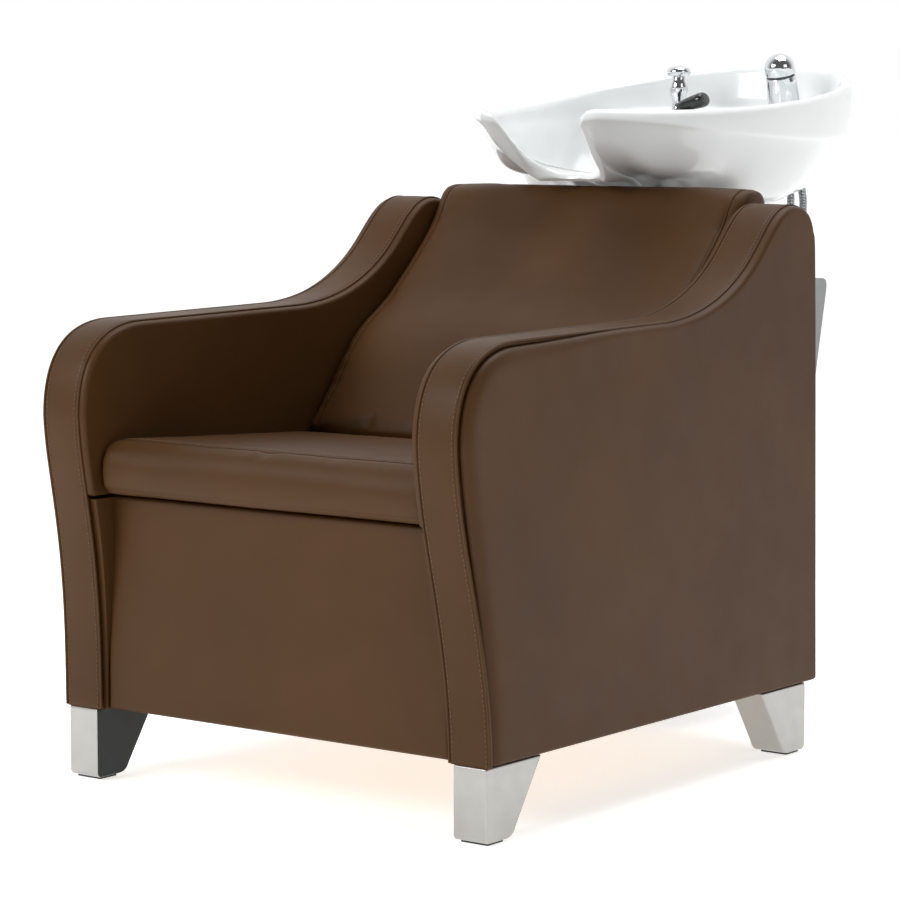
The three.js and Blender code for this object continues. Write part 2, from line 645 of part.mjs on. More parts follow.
function addBowl() {
  const body = new LoftGeometry(bowlSections());
  const recess = new THREE.Shape();
  recess.moveTo(-RECESS.half, RECESS.front);
  recess.lineTo(RECESS.half, RECESS.front);
  recess.lineTo(RECESS.half, RECESS.rear - RECESS.corner);
  recess.quadraticCurveTo(RECESS.half, RECESS.rear, RECESS.half - RECESS.corner, RECESS.rear);
  recess.lineTo(RECESS.corner - RECESS.half, RECESS.rear);
  recess.quadraticCurveTo(-RECESS.half, RECESS.rear, -RECESS.half, RECESS.rear - RECESS.corner);
  const underDeck = extrudeUp(recess, BOWL_BOTTOM - 20, DECK_Z - DECK_THICKNESS);
  const tapHoles = [MIXER, BREAKER, SPRAY].map(({ x, y, holeRadius }) => barUp(holeRadius, x, y, 860, 930));
  addPiece('bowl', cut(body, underDeck, ...tapHoles), ceramic());

  const rim = DRAIN_RIM_Z;
  const flange = turned([
    [19, rim], [33, rim], [34, rim - 1.5], [34, rim - 2.5],
    [23.5, rim - 2.5], [23.5, WASTE_TAIL], [19, WASTE_TAIL], [19, rim],
  ]);
  addPiece('drain_flange', flange.translate(0, DRAIN_Y, 0), chrome());
  addPiece('drain_nut', hexNut(0, DRAIN_Y, BOWL_BOTTOM - 15, BOWL_BOTTOM - GAP, 36, 24.2), chrome());
  const strainer = turned([
    [0, rim - 16], [12, rim - 15], [18, rim - 6], [18, rim + 0.4],
    [22, rim + 0.4], [22, rim + 2], [7, rim + 4], [0, rim + 6],
  ]);
  addPiece('strainer', strainer.translate(0, DRAIN_Y, 0), chrome());
}

// ---------------------------------------------------------------- fittings on the deck

function addMixer() {
  // The mixer's own frame: origin on the deck, Z along its leaning axis.
  const mixer = new THREE.Group();
  mixer.position.set(MIXER.x, MIXER.y, DECK_Z);
  mixer.rotation.x = MIXER_LEAN;
  unit.add(mixer);

  const shank = turned([[0, -40], [15, -40], [15, 6], [0, 6]]).rotateX(-MIXER_LEAN);
  const flange = turned([[0, 1], [30, 1], [30, 3], [27, 6], [0, 6]]).rotateX(-MIXER_LEAN);
  const column = turned([[0, -12], [25, -12], [24, 30], [23, MIXER_SEAM - 3], [0, MIXER_SEAM - 3]]);
  const belowDeck = barUp(40, 0, 0, -60, 1).rotateX(-MIXER_LEAN);
  addPiece('mixer_body', joined(shank, flange, cut(column, belowDeck)), chrome(), mixer);
  const ringBottom = MIXER_SEAM - 2.7;
  const ringTop = MIXER_SEAM - GAP;
  const ring = turned([[0, ringBottom], [21.5, ringBottom], [21.5, ringTop], [0, ringTop]]);
  addPiece('mixer_ring', ring, chrome(), mixer);

  const domeTop = MIXER_SEAM + MIXER_DOME;
  const domeRadius = 23.5;
  const profile = [[0, MIXER_SEAM], [domeRadius - 1, MIXER_SEAM], [domeRadius, MIXER_SEAM + 1]];
  for (let i = 0; i <= 6; i += 1) {
    const angle = (i / 6) * (Math.PI / 2);
    profile.push([domeRadius * Math.cos(angle), domeTop - 22 + 22 * Math.sin(angle)]);
  }
  const dome = turned(profile);
  const handle = new THREE.ExtrudeGeometry(
    new THREE.Shape().moveTo(0, -7).lineTo(58, -5).absarc(58, 0, 5, -Math.PI / 2, Math.PI / 2).lineTo(0, 7),
    { depth: 7, bevelEnabled: false, curveSegments: 5 },
  );
  handle.translate(8, 0, MIXER_SEAM + 8).rotateZ(LEVER_HEADING);
  addPiece('mixer_lever', joined(dome, handle), chrome(), mixer);

  const nutTop = DECK_Z - DECK_THICKNESS - GAP;
  addPiece('mixer_nut', hexNut(MIXER.x, MIXER.y, nutTop - 14, nutTop, 24, 15.6), chrome());
}

function addBreaker() {
  const body = turned([
    [0, 856], [11, 856], [11, DECK_Z + 1], [13, DECK_Z + 1], [16, DECK_Z + 3], [12, DECK_Z + 6],
    [9.5, DECK_Z + 12], [10, DECK_Z + 24], [13.5, DECK_Z + 34], [14.5, DECK_Z + 42], [13, DECK_Z + 50],
    [10.5, DECK_Z + 56], [10.5, DECK_Z + 60], [0, DECK_Z + 60],
  ]);
  addPiece('breaker_body', body.translate(BREAKER.x, BREAKER.y, 0), chrome());
  const cap = turned([
    [0, DECK_Z + 60.3], [16, DECK_Z + 60.3], [18.5, DECK_Z + 64], [19, DECK_Z + 68], [16.5, DECK_Z + 72.5],
    [10, DECK_Z + 75.3], [0, DECK_Z + 76],
  ]);
  addPiece('breaker_cap', cap.translate(BREAKER.x, BREAKER.y, 0), chrome());
}

function addSpray() {
  const holder = turned([
    [11.5, 876], [15, 876], [15, DECK_Z + 1], [20, DECK_Z + 1], [20, DECK_Z + 3], [18, DECK_Z + 5],
    [11.5, DECK_Z + 5], [11.5, 876],
  ]);
  addPiece('spray_holder', holder.translate(SPRAY.x, SPRAY.y, 0), chrome());

  const stem = turned([[0, 878], [10.5, 878], [10.5, DECK_Z + 13], [0, DECK_Z + 13]], 16);
  const head = turned([[0, -8], [9, -8], [12.5, 4], [14, 18], [16, 34], [15, 40], [0, 43]], 20);
  const flatness = 0.75;
  head.scale(flatness, 1, 1).rotateY(THREE.MathUtils.degToRad(75)).translate(1, 0, DECK_Z + 14);
  addPiece('spray_head', joined(stem, head).translate(SPRAY.x, SPRAY.y, 0), blackPlastic());
}

// ---------------------------------------------------------------- water and waste

function addWaste() {
  const hoseTop = WASTE_TAIL - GAP;
  const hoseBottom = TRAP.top + GAP;
  const ribs = 9;
  const ribbed = [[0, hoseBottom]];
  for (let i = 0; i < ribs; i += 1) {
    const low = mix(hoseBottom, hoseTop, i / ribs);
    const pitch = (hoseTop - hoseBottom) / ribs;
    ribbed.push([19, low], [22, low + pitch / 2]);
  }
  ribbed.push([19, hoseTop], [0, hoseTop]);
  addPiece('waste_hose', turned(ribbed, 16).translate(0, DRAIN_Y, 0), greyPlastic());
  const trap = turned([
    [0, TRAP.bottom], [TRAP.radius - 6, TRAP.bottom], [TRAP.radius, TRAP.bottom + 8],
    [TRAP.radius, TRAP.top - 30], [22, TRAP.top - 18], [22, TRAP.top], [0, TRAP.top],
  ]);
  addPiece('trap', trap.translate(0, TRAP.y, 0), greyPlastic());
  const outletZ = TRAP.top - 50;
  const pipe = tube([
    [0, TRAP.y - TRAP.radius - 1, outletZ],
    [0, WASTE.y + 26, outletZ],
    [0, WASTE.y + 7, outletZ - 7],
    [0, WASTE.y, outletZ - 26],
    [0, WASTE.y, outletZ - 120],
    [0, WASTE.y, WASTE.end],
  ], WASTE.radius, 28, WASTE.bore);
  addPiece('waste_pipe', pipe, greyPlastic());
}

function addValve(name, x) {
  const body = turned([
    [0, VALVE.z - 20], [VALVE.pipeRadius, VALVE.z - 20], [15, VALVE.z - 14], [15, VALVE.z + 14],
    [VALVE.pipeRadius, VALVE.z + 20], [VALVE.pipeRadius, VALVE.z + 40], [0, VALVE.z + 40],
  ], 20);
  const pipe = barUp(VALVE.pipeRadius, 0, 0, VALVE.end, VALVE.z - 15, 16);
  const bore = barUp(VALVE.boreRadius, 0, 0, VALVE.end - 5, VALVE.z - 40, 12);
  const bonnet = barAlong(10, 0, 0, 24, VALVE.z);
  const valve = cut(joined(body, pipe, bonnet), bore);
  addPiece(`valve_${name}`, valve.translate(x, VALVE.y, 0), chrome());
  const grip = barAlong(16, x, VALVE.y + 24.3, VALVE.y + 42, VALVE.z, 12);
  addPiece(`valve_knob_${name}`, grip, blackPlastic());
}

function addWater() {
  addValve('hot', VALVE.hotX);
  addValve('cold', VALVE.coldX);
  const hoseStart = VALVE.z + 40 + GAP;
  addPiece('supply_hose_hot', tube([
    [MIXER.x - 8, MIXER.y + 3, 857], [MIXER.x - 8, MIXER.y + 5, 838],
    [86, 1145, 790], [86, 1141, 735], [76, 1098, 640],
    [VALVE.hotX, 1020, 560], [VALVE.hotX, VALVE.y, hoseStart + 22], [VALVE.hotX, VALVE.y, hoseStart],
  ], HOSE_RADIUS, 22), braidedSteel());
  addPiece('supply_hose_cold', tube([
    [MIXER.x + 8, MIXER.y + 3, 857], [MIXER.x + 9, MIXER.y + 5, 838],
    [106, 1146, 790], [110, 1142, 735], [109, 1098, 640],
    [VALVE.coldX, 1020, 560], [VALVE.coldX, VALVE.y, hoseStart + 22], [VALVE.coldX, VALVE.y, hoseStart],
  ], HOSE_RADIUS, 22), braidedSteel());
  addPiece('link_hose', tube([
    [MIXER.x, MIXER.y - 8, 857], [MIXER.x - 1, MIXER.y - 9, 842], [72, 1108, 812], [20, 1112, 800],
    [-50, 1130, 802], [-94, 1134, 818], [BREAKER.x - 5, 1122, 842], [BREAKER.x - 5, 1121, 855],
  ], HOSE_RADIUS - 1, 20), braidedSteel());
  addPiece('spray_hose', tube([
    [BREAKER.x + 2, 1108, 855], [BREAKER.x + 2, 1107, 838], [-99, 1098, 790], [-93, 1094, 735],
    [-70, 1090, 706], [-45, 1088, 722], [-42, 1086, 780], [-56, SPRAY.y, 830],
    [SPRAY.x, SPRAY.y, 860], [SPRAY.x, SPRAY.y, 877],
  ], HOSE_RADIUS, 30), braidedSteel());
}

addArms();
addSeat();
addBack();
addBodyPanels();
addLegs();
addConsole();
addConsoleFrame();
addTiltMechanism();
addBowl();
addMixer();
addBreaker();
addSpray();
addWaste();
addWater();

export default unit;
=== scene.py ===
"""A salon shampoo chair with its washbowl: leather upholstery, glazed bowl, chrome fittings.

Shapes are worked out in millimetres, with Y = 0 at the lower front edge of the chair's body,
and metres() moves them into the model's frame. +X is across the chair, +Y towards the bowl.
"""

import math

import bmesh
import bpy
import numpy as np
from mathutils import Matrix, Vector
from mathutils.bvhtree import BVHTree


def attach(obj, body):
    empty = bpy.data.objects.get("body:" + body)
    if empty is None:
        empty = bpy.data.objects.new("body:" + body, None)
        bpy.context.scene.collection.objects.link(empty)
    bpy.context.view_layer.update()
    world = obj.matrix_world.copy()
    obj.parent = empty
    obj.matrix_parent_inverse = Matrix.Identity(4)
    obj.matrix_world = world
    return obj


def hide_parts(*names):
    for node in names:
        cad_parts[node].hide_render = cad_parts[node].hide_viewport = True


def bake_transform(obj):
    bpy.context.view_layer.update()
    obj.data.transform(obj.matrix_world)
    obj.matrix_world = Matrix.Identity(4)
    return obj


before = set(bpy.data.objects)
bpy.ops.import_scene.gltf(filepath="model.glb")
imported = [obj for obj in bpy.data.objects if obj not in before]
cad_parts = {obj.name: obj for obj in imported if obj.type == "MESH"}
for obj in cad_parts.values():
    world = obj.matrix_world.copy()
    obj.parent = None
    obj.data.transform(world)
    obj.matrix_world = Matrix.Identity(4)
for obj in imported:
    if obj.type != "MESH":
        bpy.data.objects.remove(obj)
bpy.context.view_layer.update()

MIDDLE_Y = 600.5  # the unit's middle, which is Y = 0 in the model's frame

# ---------------------------------------------------------------- camera


def add_camera():
    data = bpy.data.cameras.new("camera")
    data.lens = 129.34
    data.sensor_width = 36
    data.clip_end = 200
    camera = bpy.data.objects.new("camera", data)
    camera.location = (2.6965, -3.7528, 0.9196)
    camera.rotation_euler = (math.radians(90 - 6.16), 0, math.radians(37.26))
    bpy.context.scene.collection.objects.link(camera)
    bpy.context.scene.camera = camera


add_camera()

# ---------------------------------------------------------------- sizes, millimetres

LEG_HEIGHT = 99
LEG_INNER, LEG_OUTER, REAR_LEG_END = 303, 355, 760
BAND_INNER, BAND_OUTER = 285, 345  # |X| of the arm band's edges at the arm's bulge
BAND_SPREAD_INNER, BAND_SPREAD_OUTER = 12, 14.5  # how far each edge has moved out at the bottom
CORE_INNER, CORE_FRONT_INNER = 281, 291  # |X| of the arm core's inner face, and beside the front panel
BAND_THICKNESS = 7
PANEL_INSET, INNER_PANEL_INSET = 8, 2.5
SOFT_ROLL, REAR_ROLL, CRISP_ROLL = 20, 7, 4  # edge radii of the arm's outer panel
INNER_FACE = 274  # |X| of the arm's inner side
APRON_FACE, APRON_BACK, APRON_HALF = 9, 20, 290
REAR_PANEL_FACE, REAR_PANEL_HALF = 766, 280.4
CUSHION_HALF = 272.4
SEAT_FRONT, SEAT_REAR = -17, 398
SEAT_BOTTOM, SEAT_TOP_REAR = 396, 449
PIPING_RADIUS = 1.9
STITCH_LENGTH, STITCH_PITCH, STITCH_RADIUS = 4.2, 6.4, 0.45

# ---------------------------------------------------------------- mesh helpers


def metres(points):
    """Millimetres with Y from the body's front edge, to metres in the model's frame."""
    moved = np.array(points, dtype=float)
    moved[..., 1] -= MIDDLE_Y
    return moved / 1000


def make_piece(name, points, faces, material, body, stands_for=(), smooth_angle=None):
    """A mesh object from points in millimetres, riding on a body."""
    mesh = bpy.data.meshes.new(name)
    mesh.from_pydata(metres(points).tolist(), [], faces)
    piece = bpy.data.objects.new(name, mesh)
    bpy.context.scene.collection.objects.link(piece)
    tidy_mesh(mesh, smooth_angle)
    mesh.materials.append(material)
    place_piece(piece, body, stands_for)
    return piece


def place_piece(piece, body, stands_for=()):
    if body is not None:
        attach(piece, body)
    if stands_for:
        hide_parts(*stands_for)


def tidy_mesh(mesh, smooth_angle=None):
    """Outward normals and smooth shading, with edges sharper than the angle kept crisp."""
    work = bmesh.new()
    work.from_mesh(mesh)
    bmesh.ops.remove_doubles(work, verts=work.verts, dist=1e-6)
    bmesh.ops.recalc_face_normals(work, faces=work.faces)
    for face in work.faces:
        face.smooth = True
    if smooth_angle is not None:
        for edge in work.edges:
            if len(edge.link_faces) == 2 and edge.calc_face_angle() > math.radians(smooth_angle):
                edge.smooth = False
    work.to_mesh(mesh)
    work.free()


def apply_modifiers(piece):
    """Replaces the piece's mesh with what its modifiers make of it."""
    bpy.context.view_layer.update()
    shown = piece.evaluated_get(bpy.context.evaluated_depsgraph_get())
    made = bpy.data.meshes.new_from_object(shown)
    piece.modifiers.clear()
    piece.data = made


def bevel(piece, width_mm, segments=3, angle=35):
    modifier = piece.modifiers.new("edges", "BEVEL")
    modifier.width = width_mm / 1000
    modifier.segments = segments
    modifier.limit_method = "ANGLE"
    modifier.angle_limit = math.radians(angle)
    modifier.harden_normals = True
    return modifier


def ring_faces(ring_count, ring_size, first=0):
    """Quads between rings of points that each close on themselves."""
    faces = []
    for ring in range(ring_count - 1):
        for i in range(ring_size):
            j = (i + 1) % ring_size
            low = first + ring * ring_size
            faces.append((low + i, low + j, low + ring_size + j, low + ring_size + i))
    return faces


def lofted(name, rings, material, body, stands_for=(), smooth_angle=None):
    """A closed form through a row of rings, with flat ends."""
    size = len(rings[0])
    points = np.concatenate([np.asarray(ring, dtype=float) for ring in rings])
    faces = ring_faces(len(rings), size)
    faces.append(tuple(reversed(range(size))))
    faces.append(tuple(range(len(points) - size, len(points))))
    return make_piece(name, points, faces, material, body, stands_for, smooth_angle)


def evenly(points, spacing):
    """The same path with its points an even distance apart."""
    points = np.asarray(points, dtype=float)
    lengths = np.r_[0, np.cumsum(np.linalg.norm(np.diff(points, axis=0), axis=1))]
    count = max(2, int(round(lengths[-1] / spacing)) + 1)
    stops = np.linspace(0, lengths[-1], count)
    return np.stack([np.interp(stops, lengths, points[:, k]) for k in range(points.shape[1])], axis=1)


def spline(points, steps):
    """A smooth curve through the points, with a number of steps to each stretch."""
    points = np.asarray(points, dtype=float)
    padded = np.concatenate([[2 * points[0] - points[1]], points, [2 * points[-1] - points[-2]]])
    made = []
    for a, b, c, d in zip(padded, padded[1:], padded[2:], padded[3:]):
        for t in np.arange(steps) / steps:
            made.append(0.5 * (2 * b + (c - a) * t + (2 * a - 5 * b + 4 * c - d) * t**2
                               + (3 * b - a - 3 * c + d) * t**3))
    made.append(points[-1])
    return np.array(made)


def corners_cut(points, rounds=2):
    """The path with its corners cut again and again, so that it never swings wide of them."""
    for _ in range(rounds):
        cuts = np.empty((2 * len(points) - 2, points.shape[1]))
        cuts[0::2] = 0.75 * points[:-1] + 0.25 * points[1:]
        cuts[1::2] = 0.25 * points[:-1] + 0.75 * points[1:]
        points = np.concatenate([points[:1], cuts, points[-1:]])
    return points


def bezier(a, b, c, d, steps=16):
    t = np.linspace(0, 1, steps + 1)[:, None]
    a, b, c, d = (np.array(p, dtype=float) for p in (a, b, c, d))
    return (1 - t) ** 3 * a + 3 * (1 - t) ** 2 * t * b + 3 * (1 - t) * t**2 * c + t**3 * d


def smooth(t):
    t = np.clip(t, 0, 1)
    return t * t * (3 - 2 * t)


def mix(a, b, t):
    return a + (b - a) * t


def tube_rings(path, radius, sides):
    """Rings of a round tube along a path, without twist; the radius may be one per point."""
    path = np.asarray(path, dtype=float)
    radii = np.broadcast_to(radius, len(path))
    along = np.gradient(path, axis=0)
    along /= np.linalg.norm(along, axis=1)[:, None]
    side = np.cross(along[0], [0.31, 0.17, 0.93])
    rings = []
    angles = np.linspace(0, 2 * math.pi, sides, endpoint=False)
    for point, direction, r in zip(path, along, radii):
        side = side - direction * side.dot(direction)
        side /= np.linalg.norm(side)
        up = np.cross(direction, side)
        rings.append(point + r * (np.cos(angles)[:, None] * side + np.sin(angles)[:, None] * up))
    return rings


def tube(name, path, radius, material, body, stands_for=(), sides=16):
    return lofted(name, tube_rings(path, radius, sides), material, body, stands_for, 60)


def lathe_points(profile, sides=64):
    """Points and faces of a turned form on the Z axis, from (radius, height) pairs."""
    profile = np.asarray(profile, dtype=float)
    angles = np.linspace(0, 2 * math.pi, sides, endpoint=False)
    circle = np.stack([np.cos(angles), np.sin(angles)], axis=1)
    rings = [np.column_stack([r * circle, np.full(sides, z)]) for r, z in profile]
    return np.concatenate(rings), ring_faces(len(profile), sides)


def rounded(profile, radius=1.0, steps=4):
    """A (radius, height) outline with its inner corners rounded."""
    points = [np.array(p, dtype=float) for p in profile]
    made = [points[0]]
    for before, corner, after in zip(points, points[1:], points[2:]):
        into, out = before - corner, after - corner
        reach = min(radius, 0.45 * np.linalg.norm(into), 0.45 * np.linalg.norm(out))
        start = corner + into / np.linalg.norm(into) * reach
        end = corner + out / np.linalg.norm(out) * reach
        for t in np.linspace(0, 1, steps + 1):
            made.append((1 - t) ** 2 * start + 2 * (1 - t) * t * corner + t**2 * end)
    made.append(points[-1])
    return np.array(made)


def turned(name, profile, at, material, body, stands_for=(), place=None, round_by=1.0, sides=64):
    """A turned piece standing at a point; place moves its points instead, if given."""
    points, faces = lathe_points(rounded(profile, round_by), sides)
    points = place(points) if place else points + np.array(at, dtype=float)
    return make_piece(name, points, faces, material, body, stands_for, 50)


# ---------------------------------------------------------------- materials


class Recipe:
    """Short calls for building one material's nodes."""

    def __init__(self, name, **settings):
        self.material = bpy.data.materials.new(name)
        self.material.use_nodes = True
        self.tree = self.material.node_tree
        self.shader = self.tree.nodes["Principled BSDF"]
        for socket, value in settings.items():
            self.shader.inputs[socket.replace("_", " ")].default_value = value
        self.place = self.tree.nodes.new("ShaderNodeTexCoord").outputs["Object"]

    def node(self, kind, links=None, **values):
        made = self.tree.nodes.new(kind)
        for key, value in values.items():
            if hasattr(made, key):
                setattr(made, key, value)
            else:
                made.inputs[key.replace("_", " ")].default_value = value
        for socket, source in (links or {}).items():
            self.tree.links.new(source, made.inputs[socket])
        return made

    def noise(self, scale, detail=4.0, roughness=0.55, stretch=None):
        place = self.place
        if stretch:
            place = self.node("ShaderNodeMapping", {"Vector": place}, Scale=stretch).outputs[0]
        texture = self.node("ShaderNodeTexNoise", {"Vector": place}, Scale=scale, Detail=detail)
        texture.inputs["Roughness"].default_value = roughness
        return texture.outputs["Fac"]

    def cells(self, scale, feature="DISTANCE_TO_EDGE"):
        warp = self.node("ShaderNodeTexNoise", {"Vector": self.place}, Scale=scale * 0.5, Detail=2.0)
        both = {"Color1": self.place, "Color2": warp.outputs["Color"]}
        nudged = self.node("ShaderNodeMixRGB", both, Fac=0.002)
        cells = self.node("ShaderNodeTexVoronoi", {"Vector": nudged.outputs[0]}, feature=feature, Scale=scale)
        return cells.outputs["Distance"]

    def ramp(self, source, low, high, start=0.3, end=0.7):
        made = self.node("ShaderNodeValToRGB", {"Fac": source})
        made.color_ramp.elements[0].position = start
        made.color_ramp.elements[1].position = end
        made.color_ramp.elements[0].color = (*low, 1)
        made.color_ramp.elements[1].color = (*high, 1)
        return made.outputs["Color"]

    def span(self, source, low, high, start=0.3, end=0.7):
        """The source's start..end stretched to low..high."""
        made = self.node("ShaderNodeMapRange", {"Value": source})
        made.inputs["From Min"].default_value = start
        made.inputs["From Max"].default_value = end
        made.inputs["To Min"].default_value = low
        made.inputs["To Max"].default_value = high
        return made.outputs[0]

    def bump(self, height, depth_mm, strength=1.0, under=None):
        links = {"Height": height}
        if under is not None:
            links["Normal"] = under
        made = self.node("ShaderNodeBump", links, Strength=strength)
        made.inputs["Distance"].default_value = depth_mm / 1000
        return made.outputs["Normal"]

    def finish(self, color=None, roughness=None, normal=None):
        for socket, source in (("Base Color", color), ("Roughness", roughness), ("Normal", normal)):
            if source is not None:
                self.tree.links.new(source, self.shader.inputs[socket])
        return self.material


def srgb(r, g, b):
    """A colour given as 0-255 screen values, as linear light."""
    return tuple(((c / 255 + 0.055) / 1.055) ** 2.4 if c > 10 else c / 255 / 12.92 for c in (r, g, b))


def leather_material(name="brown_leather", light=(78, 50, 22), dark=(70, 44, 17), grain=1.0):
    m = Recipe(name, Specular_IOR_Level=0.2)
    mottle = m.noise(5, 4)
    color = m.ramp(mottle, srgb(*dark), srgb(*light), 0.34, 0.66)
    pores = m.cells(640)
    fine = m.noise(900, 3)
    broad = m.noise(24, 3, 0.5)
    normal = m.bump(broad, 0.7, 0.16)
    normal = m.bump(pores, 0.32 * grain, 0.35, normal)
    normal = m.bump(fine, 0.1 * grain, 0.35, normal)
    roughness = m.span(m.noise(22, 6), 0.44, 0.52)
    return m.finish(color, roughness, normal)


def thread_material():
    m = Recipe("stitch_thread", Sheen_Weight=0.3)
    strands = m.noise(1800, 2, stretch=(1, 1, 0.4))
    color = m.ramp(strands, srgb(78, 54, 37), srgb(128, 102, 80))
    return m.finish(color, m.span(strands, 0.55, 0.75), m.bump(strands, 0.15, 0.6))


def ceramic_material():
    m = Recipe("glazed_ceramic", Coat_Weight=0.35, Coat_Roughness=0.05, Coat_IOR=1.5)
    color = m.ramp(m.noise(5, 3), srgb(240, 243, 243), srgb(246, 248, 248))
    orange_peel = m.noise(60, 2)
    return m.finish(color, m.span(m.noise(14, 4), 0.14, 0.2), m.bump(orange_peel, 0.35, 0.05))


def metal_material(name, color, low, high, brushed=None, depth=0.03, metallic=1.0):
    """Metal or metallic paint; brushed gives the direction that the fine scratches run along."""
    m = Recipe(name, Metallic=metallic)
    scratches = m.noise(420 if brushed else 900, 5, stretch=brushed)
    smudges = m.noise(26, 4)
    tone = m.ramp(smudges, tuple(0.93 * c for c in srgb(*color)), srgb(*color))
    roughness = m.span(m.noise(48, 5), low, high)
    return m.finish(tone, roughness, m.bump(scratches, depth, 0.4))


def braid_material():
    """Woven steel hose: two sets of fine crossing strands."""
    m = Recipe("braided_steel", Metallic=1.0)
    flipped = m.node("ShaderNodeMapping", {"Vector": m.place}, Scale=(1, -1, -1))
    strands = {}
    for k, place in enumerate((m.place, flipped.outputs[0])):
        wave = m.node("ShaderNodeTexWave", {"Vector": place}, bands_direction="DIAGONAL", Scale=130,
                      Distortion=1.2)
        strands[k] = wave.outputs["Fac"]
    woven = m.node("ShaderNodeMath", strands, operation="MAXIMUM")
    color = m.ramp(woven.outputs[0], srgb(70, 72, 75), srgb(196, 198, 200), 0.1, 0.9)
    return m.finish(color, m.span(woven.outputs[0], 0.42, 0.24), m.bump(woven.outputs[0], 0.5, 0.8))


def plastic_material(name, light, dark, low, high, texture=500, depth=0.08, coat=0.0):
    m = Recipe(name, Coat_Weight=coat)
    color = m.ramp(m.noise(30, 4), srgb(*dark), srgb(*light))
    return m.finish(color, m.span(m.noise(70, 4), low, high), m.bump(m.noise(texture, 3), depth, 0.4))


def timber_material():
    """Plain birch board with long grain."""
    m = Recipe("timber")
    grain = m.noise(60, 8, 0.6, stretch=(0.08, 1, 1))
    color = m.ramp(grain, srgb(150, 118, 78), srgb(196, 166, 120))
    return m.finish(color, m.span(grain, 0.6, 0.8), m.bump(grain, 0.4, 0.5))


LEATHER = leather_material()
PIPING = leather_material("piping_leather", (82, 54, 27), (72, 46, 19), 0.5)
THREAD = thread_material()
CERAMIC = ceramic_material()
CHROME = metal_material("chrome", (226, 228, 230), 0.03, 0.09, depth=0.006)
# Painted shade: a darker copy of the leg metal, for the legs' faces turned in under the chair.
LEG_PAINTED_SHADE = metal_material("leg_steel_painted_shade", (46, 52, 56), 0.4, 0.52, (1, 1, 0.02), 0.05, 0.5)
SATIN = metal_material("satin_aluminium", (182, 181, 177), 0.3, 0.42, (1, 1, 0.02), 0.05)
CONSOLE_PAINT = metal_material("grey_metallic_paint", (150, 151, 150), 0.36, 0.46, None, 0.03, 0.55)
DARK_STEEL = metal_material("black_oxide_steel", (74, 76, 80), 0.38, 0.52, None, 0.06, 0.8)
BRAID = braid_material()
BLACK = plastic_material("gloss_black_plastic", (22, 22, 23), (12, 12, 13), 0.12, 0.24, 300, 0.03, 0.4)
GREY = plastic_material("grey_pipe_plastic", (166, 168, 168), (142, 144, 145), 0.4, 0.55)
RUBBER = plastic_material("black_rubber", (34, 34, 34), (22, 22, 22), 0.7, 0.85, 800, 0.15)
TIMBER = timber_material()

# ---------------------------------------------------------------- upholstery


def arm_profile():
    """The arm's side outline as (Y, Z), from its lower front corner to its lower rear corner."""
    parts = [
        bezier((0, LEG_HEIGHT), (-2, 300), (-46, 395), (-52, 500)),
        bezier((-52, 500), (-52, 580), (-10, 625), (70, 626)),
        [(70, 626), (400, 630)],
        bezier((400, 630), (500, 632), (575, 668), (620, 712)),
        bezier((620, 712), (655, 746), (676, 777), (716, 777)),
        bezier((716, 777), (756, 777), (770, 757), (770, 700)),
        [(770, 700), (784, LEG_HEIGHT)],
    ]
    return evenly(np.concatenate([np.asarray(part)[(k > 0):] for k, part in enumerate(parts)]), 7)


def inward(outline):
    """Unit vectors pointing into an outline that runs clockwise."""
    along = np.gradient(outline, axis=0)
    along /= np.linalg.norm(along, axis=1)[:, None]
    return np.stack([along[:, 1], -along[:, 0]], axis=1)


def band_edges(y, z):
    """|X| of the band's inner and outer edge at a point of the arm's profile; on the arm's
    front both edges move outwards towards the floor."""
    low = np.where(np.asarray(y) < 300, 1 - smooth((np.asarray(z) - LEG_HEIGHT) / 330), 0)
    return BAND_INNER + BAND_SPREAD_INNER * low, BAND_OUTER + BAND_SPREAD_OUTER * low


def arm_band(name, side):
    """The boxing strip round the arm's edge, slightly crowned, with rolled edges."""
    profile = arm_profile()
    into = inward(profile)
    half_section = [(0, -BAND_THICKNESS), (0, -4), (0.6, -2.1), (2.4, -0.9), (7, -0.35), (18, -0.05)]
    rings = []
    for (y, z), (ny, nz) in zip(profile, into):
        inner, outer = band_edges(y, z)
        across = [(inner + x, n) for x, n in half_section]
        across.append(((inner + outer) / 2, 0.15))
        across += [(outer - x, n) for x, n in reversed(half_section)]
        rings.append([(side * x, y - n * ny, max(z - n * nz, LEG_HEIGHT)) for x, n in across])
    return lofted(f"arm_band_leather_{name}", rings, LEATHER, "chair", [f"arm_band_{name}"])


def edge_path(side, edge, outwards, depth):
    """A path along the band's inner (0) or outer (1) edge, moved outwards by a distance and
    sunk to a depth inside the profile."""
    profile = arm_profile()
    moved = profile + inward(profile) * depth
    x = band_edges(profile[:, 0], profile[:, 1])[edge] + outwards
    return np.stack([side * x, moved[:, 0], np.maximum(moved[:, 1], LEG_HEIGHT + 1)], axis=1)


def arm_core(name, side):
    """The padded body of the arm between its panels, seen only in the gaps."""
    profile = arm_profile()
    outline = profile + inward(profile) * (BAND_THICKNESS + 0.3)
    outline[:, 1] = np.maximum(outline[:, 1], LEG_HEIGHT)
    stations = [(CORE_INNER, 1.5, APRON_BACK + 2), (CORE_INNER + 2, 0, APRON_BACK + 2),
                (CORE_FRONT_INNER - 0.2, 0, APRON_BACK + 2), (CORE_FRONT_INNER, 0, -100),
                (BAND_OUTER - 2, 0, -100), (BAND_OUTER, 1.5, -100)]
    rings = []
    for x, inset, front in stations:
        moved = outline + inward(profile) * inset
        moved[:, 0] = np.maximum(moved[:, 0], front)
        rings.append(np.stack([np.full(len(moved), side * x), moved[:, 0], moved[:, 1]], axis=1))
    return lofted(f"arm_padding_{name}", rings, LEATHER, "chair", [f"arm_core_{name}"], 40)


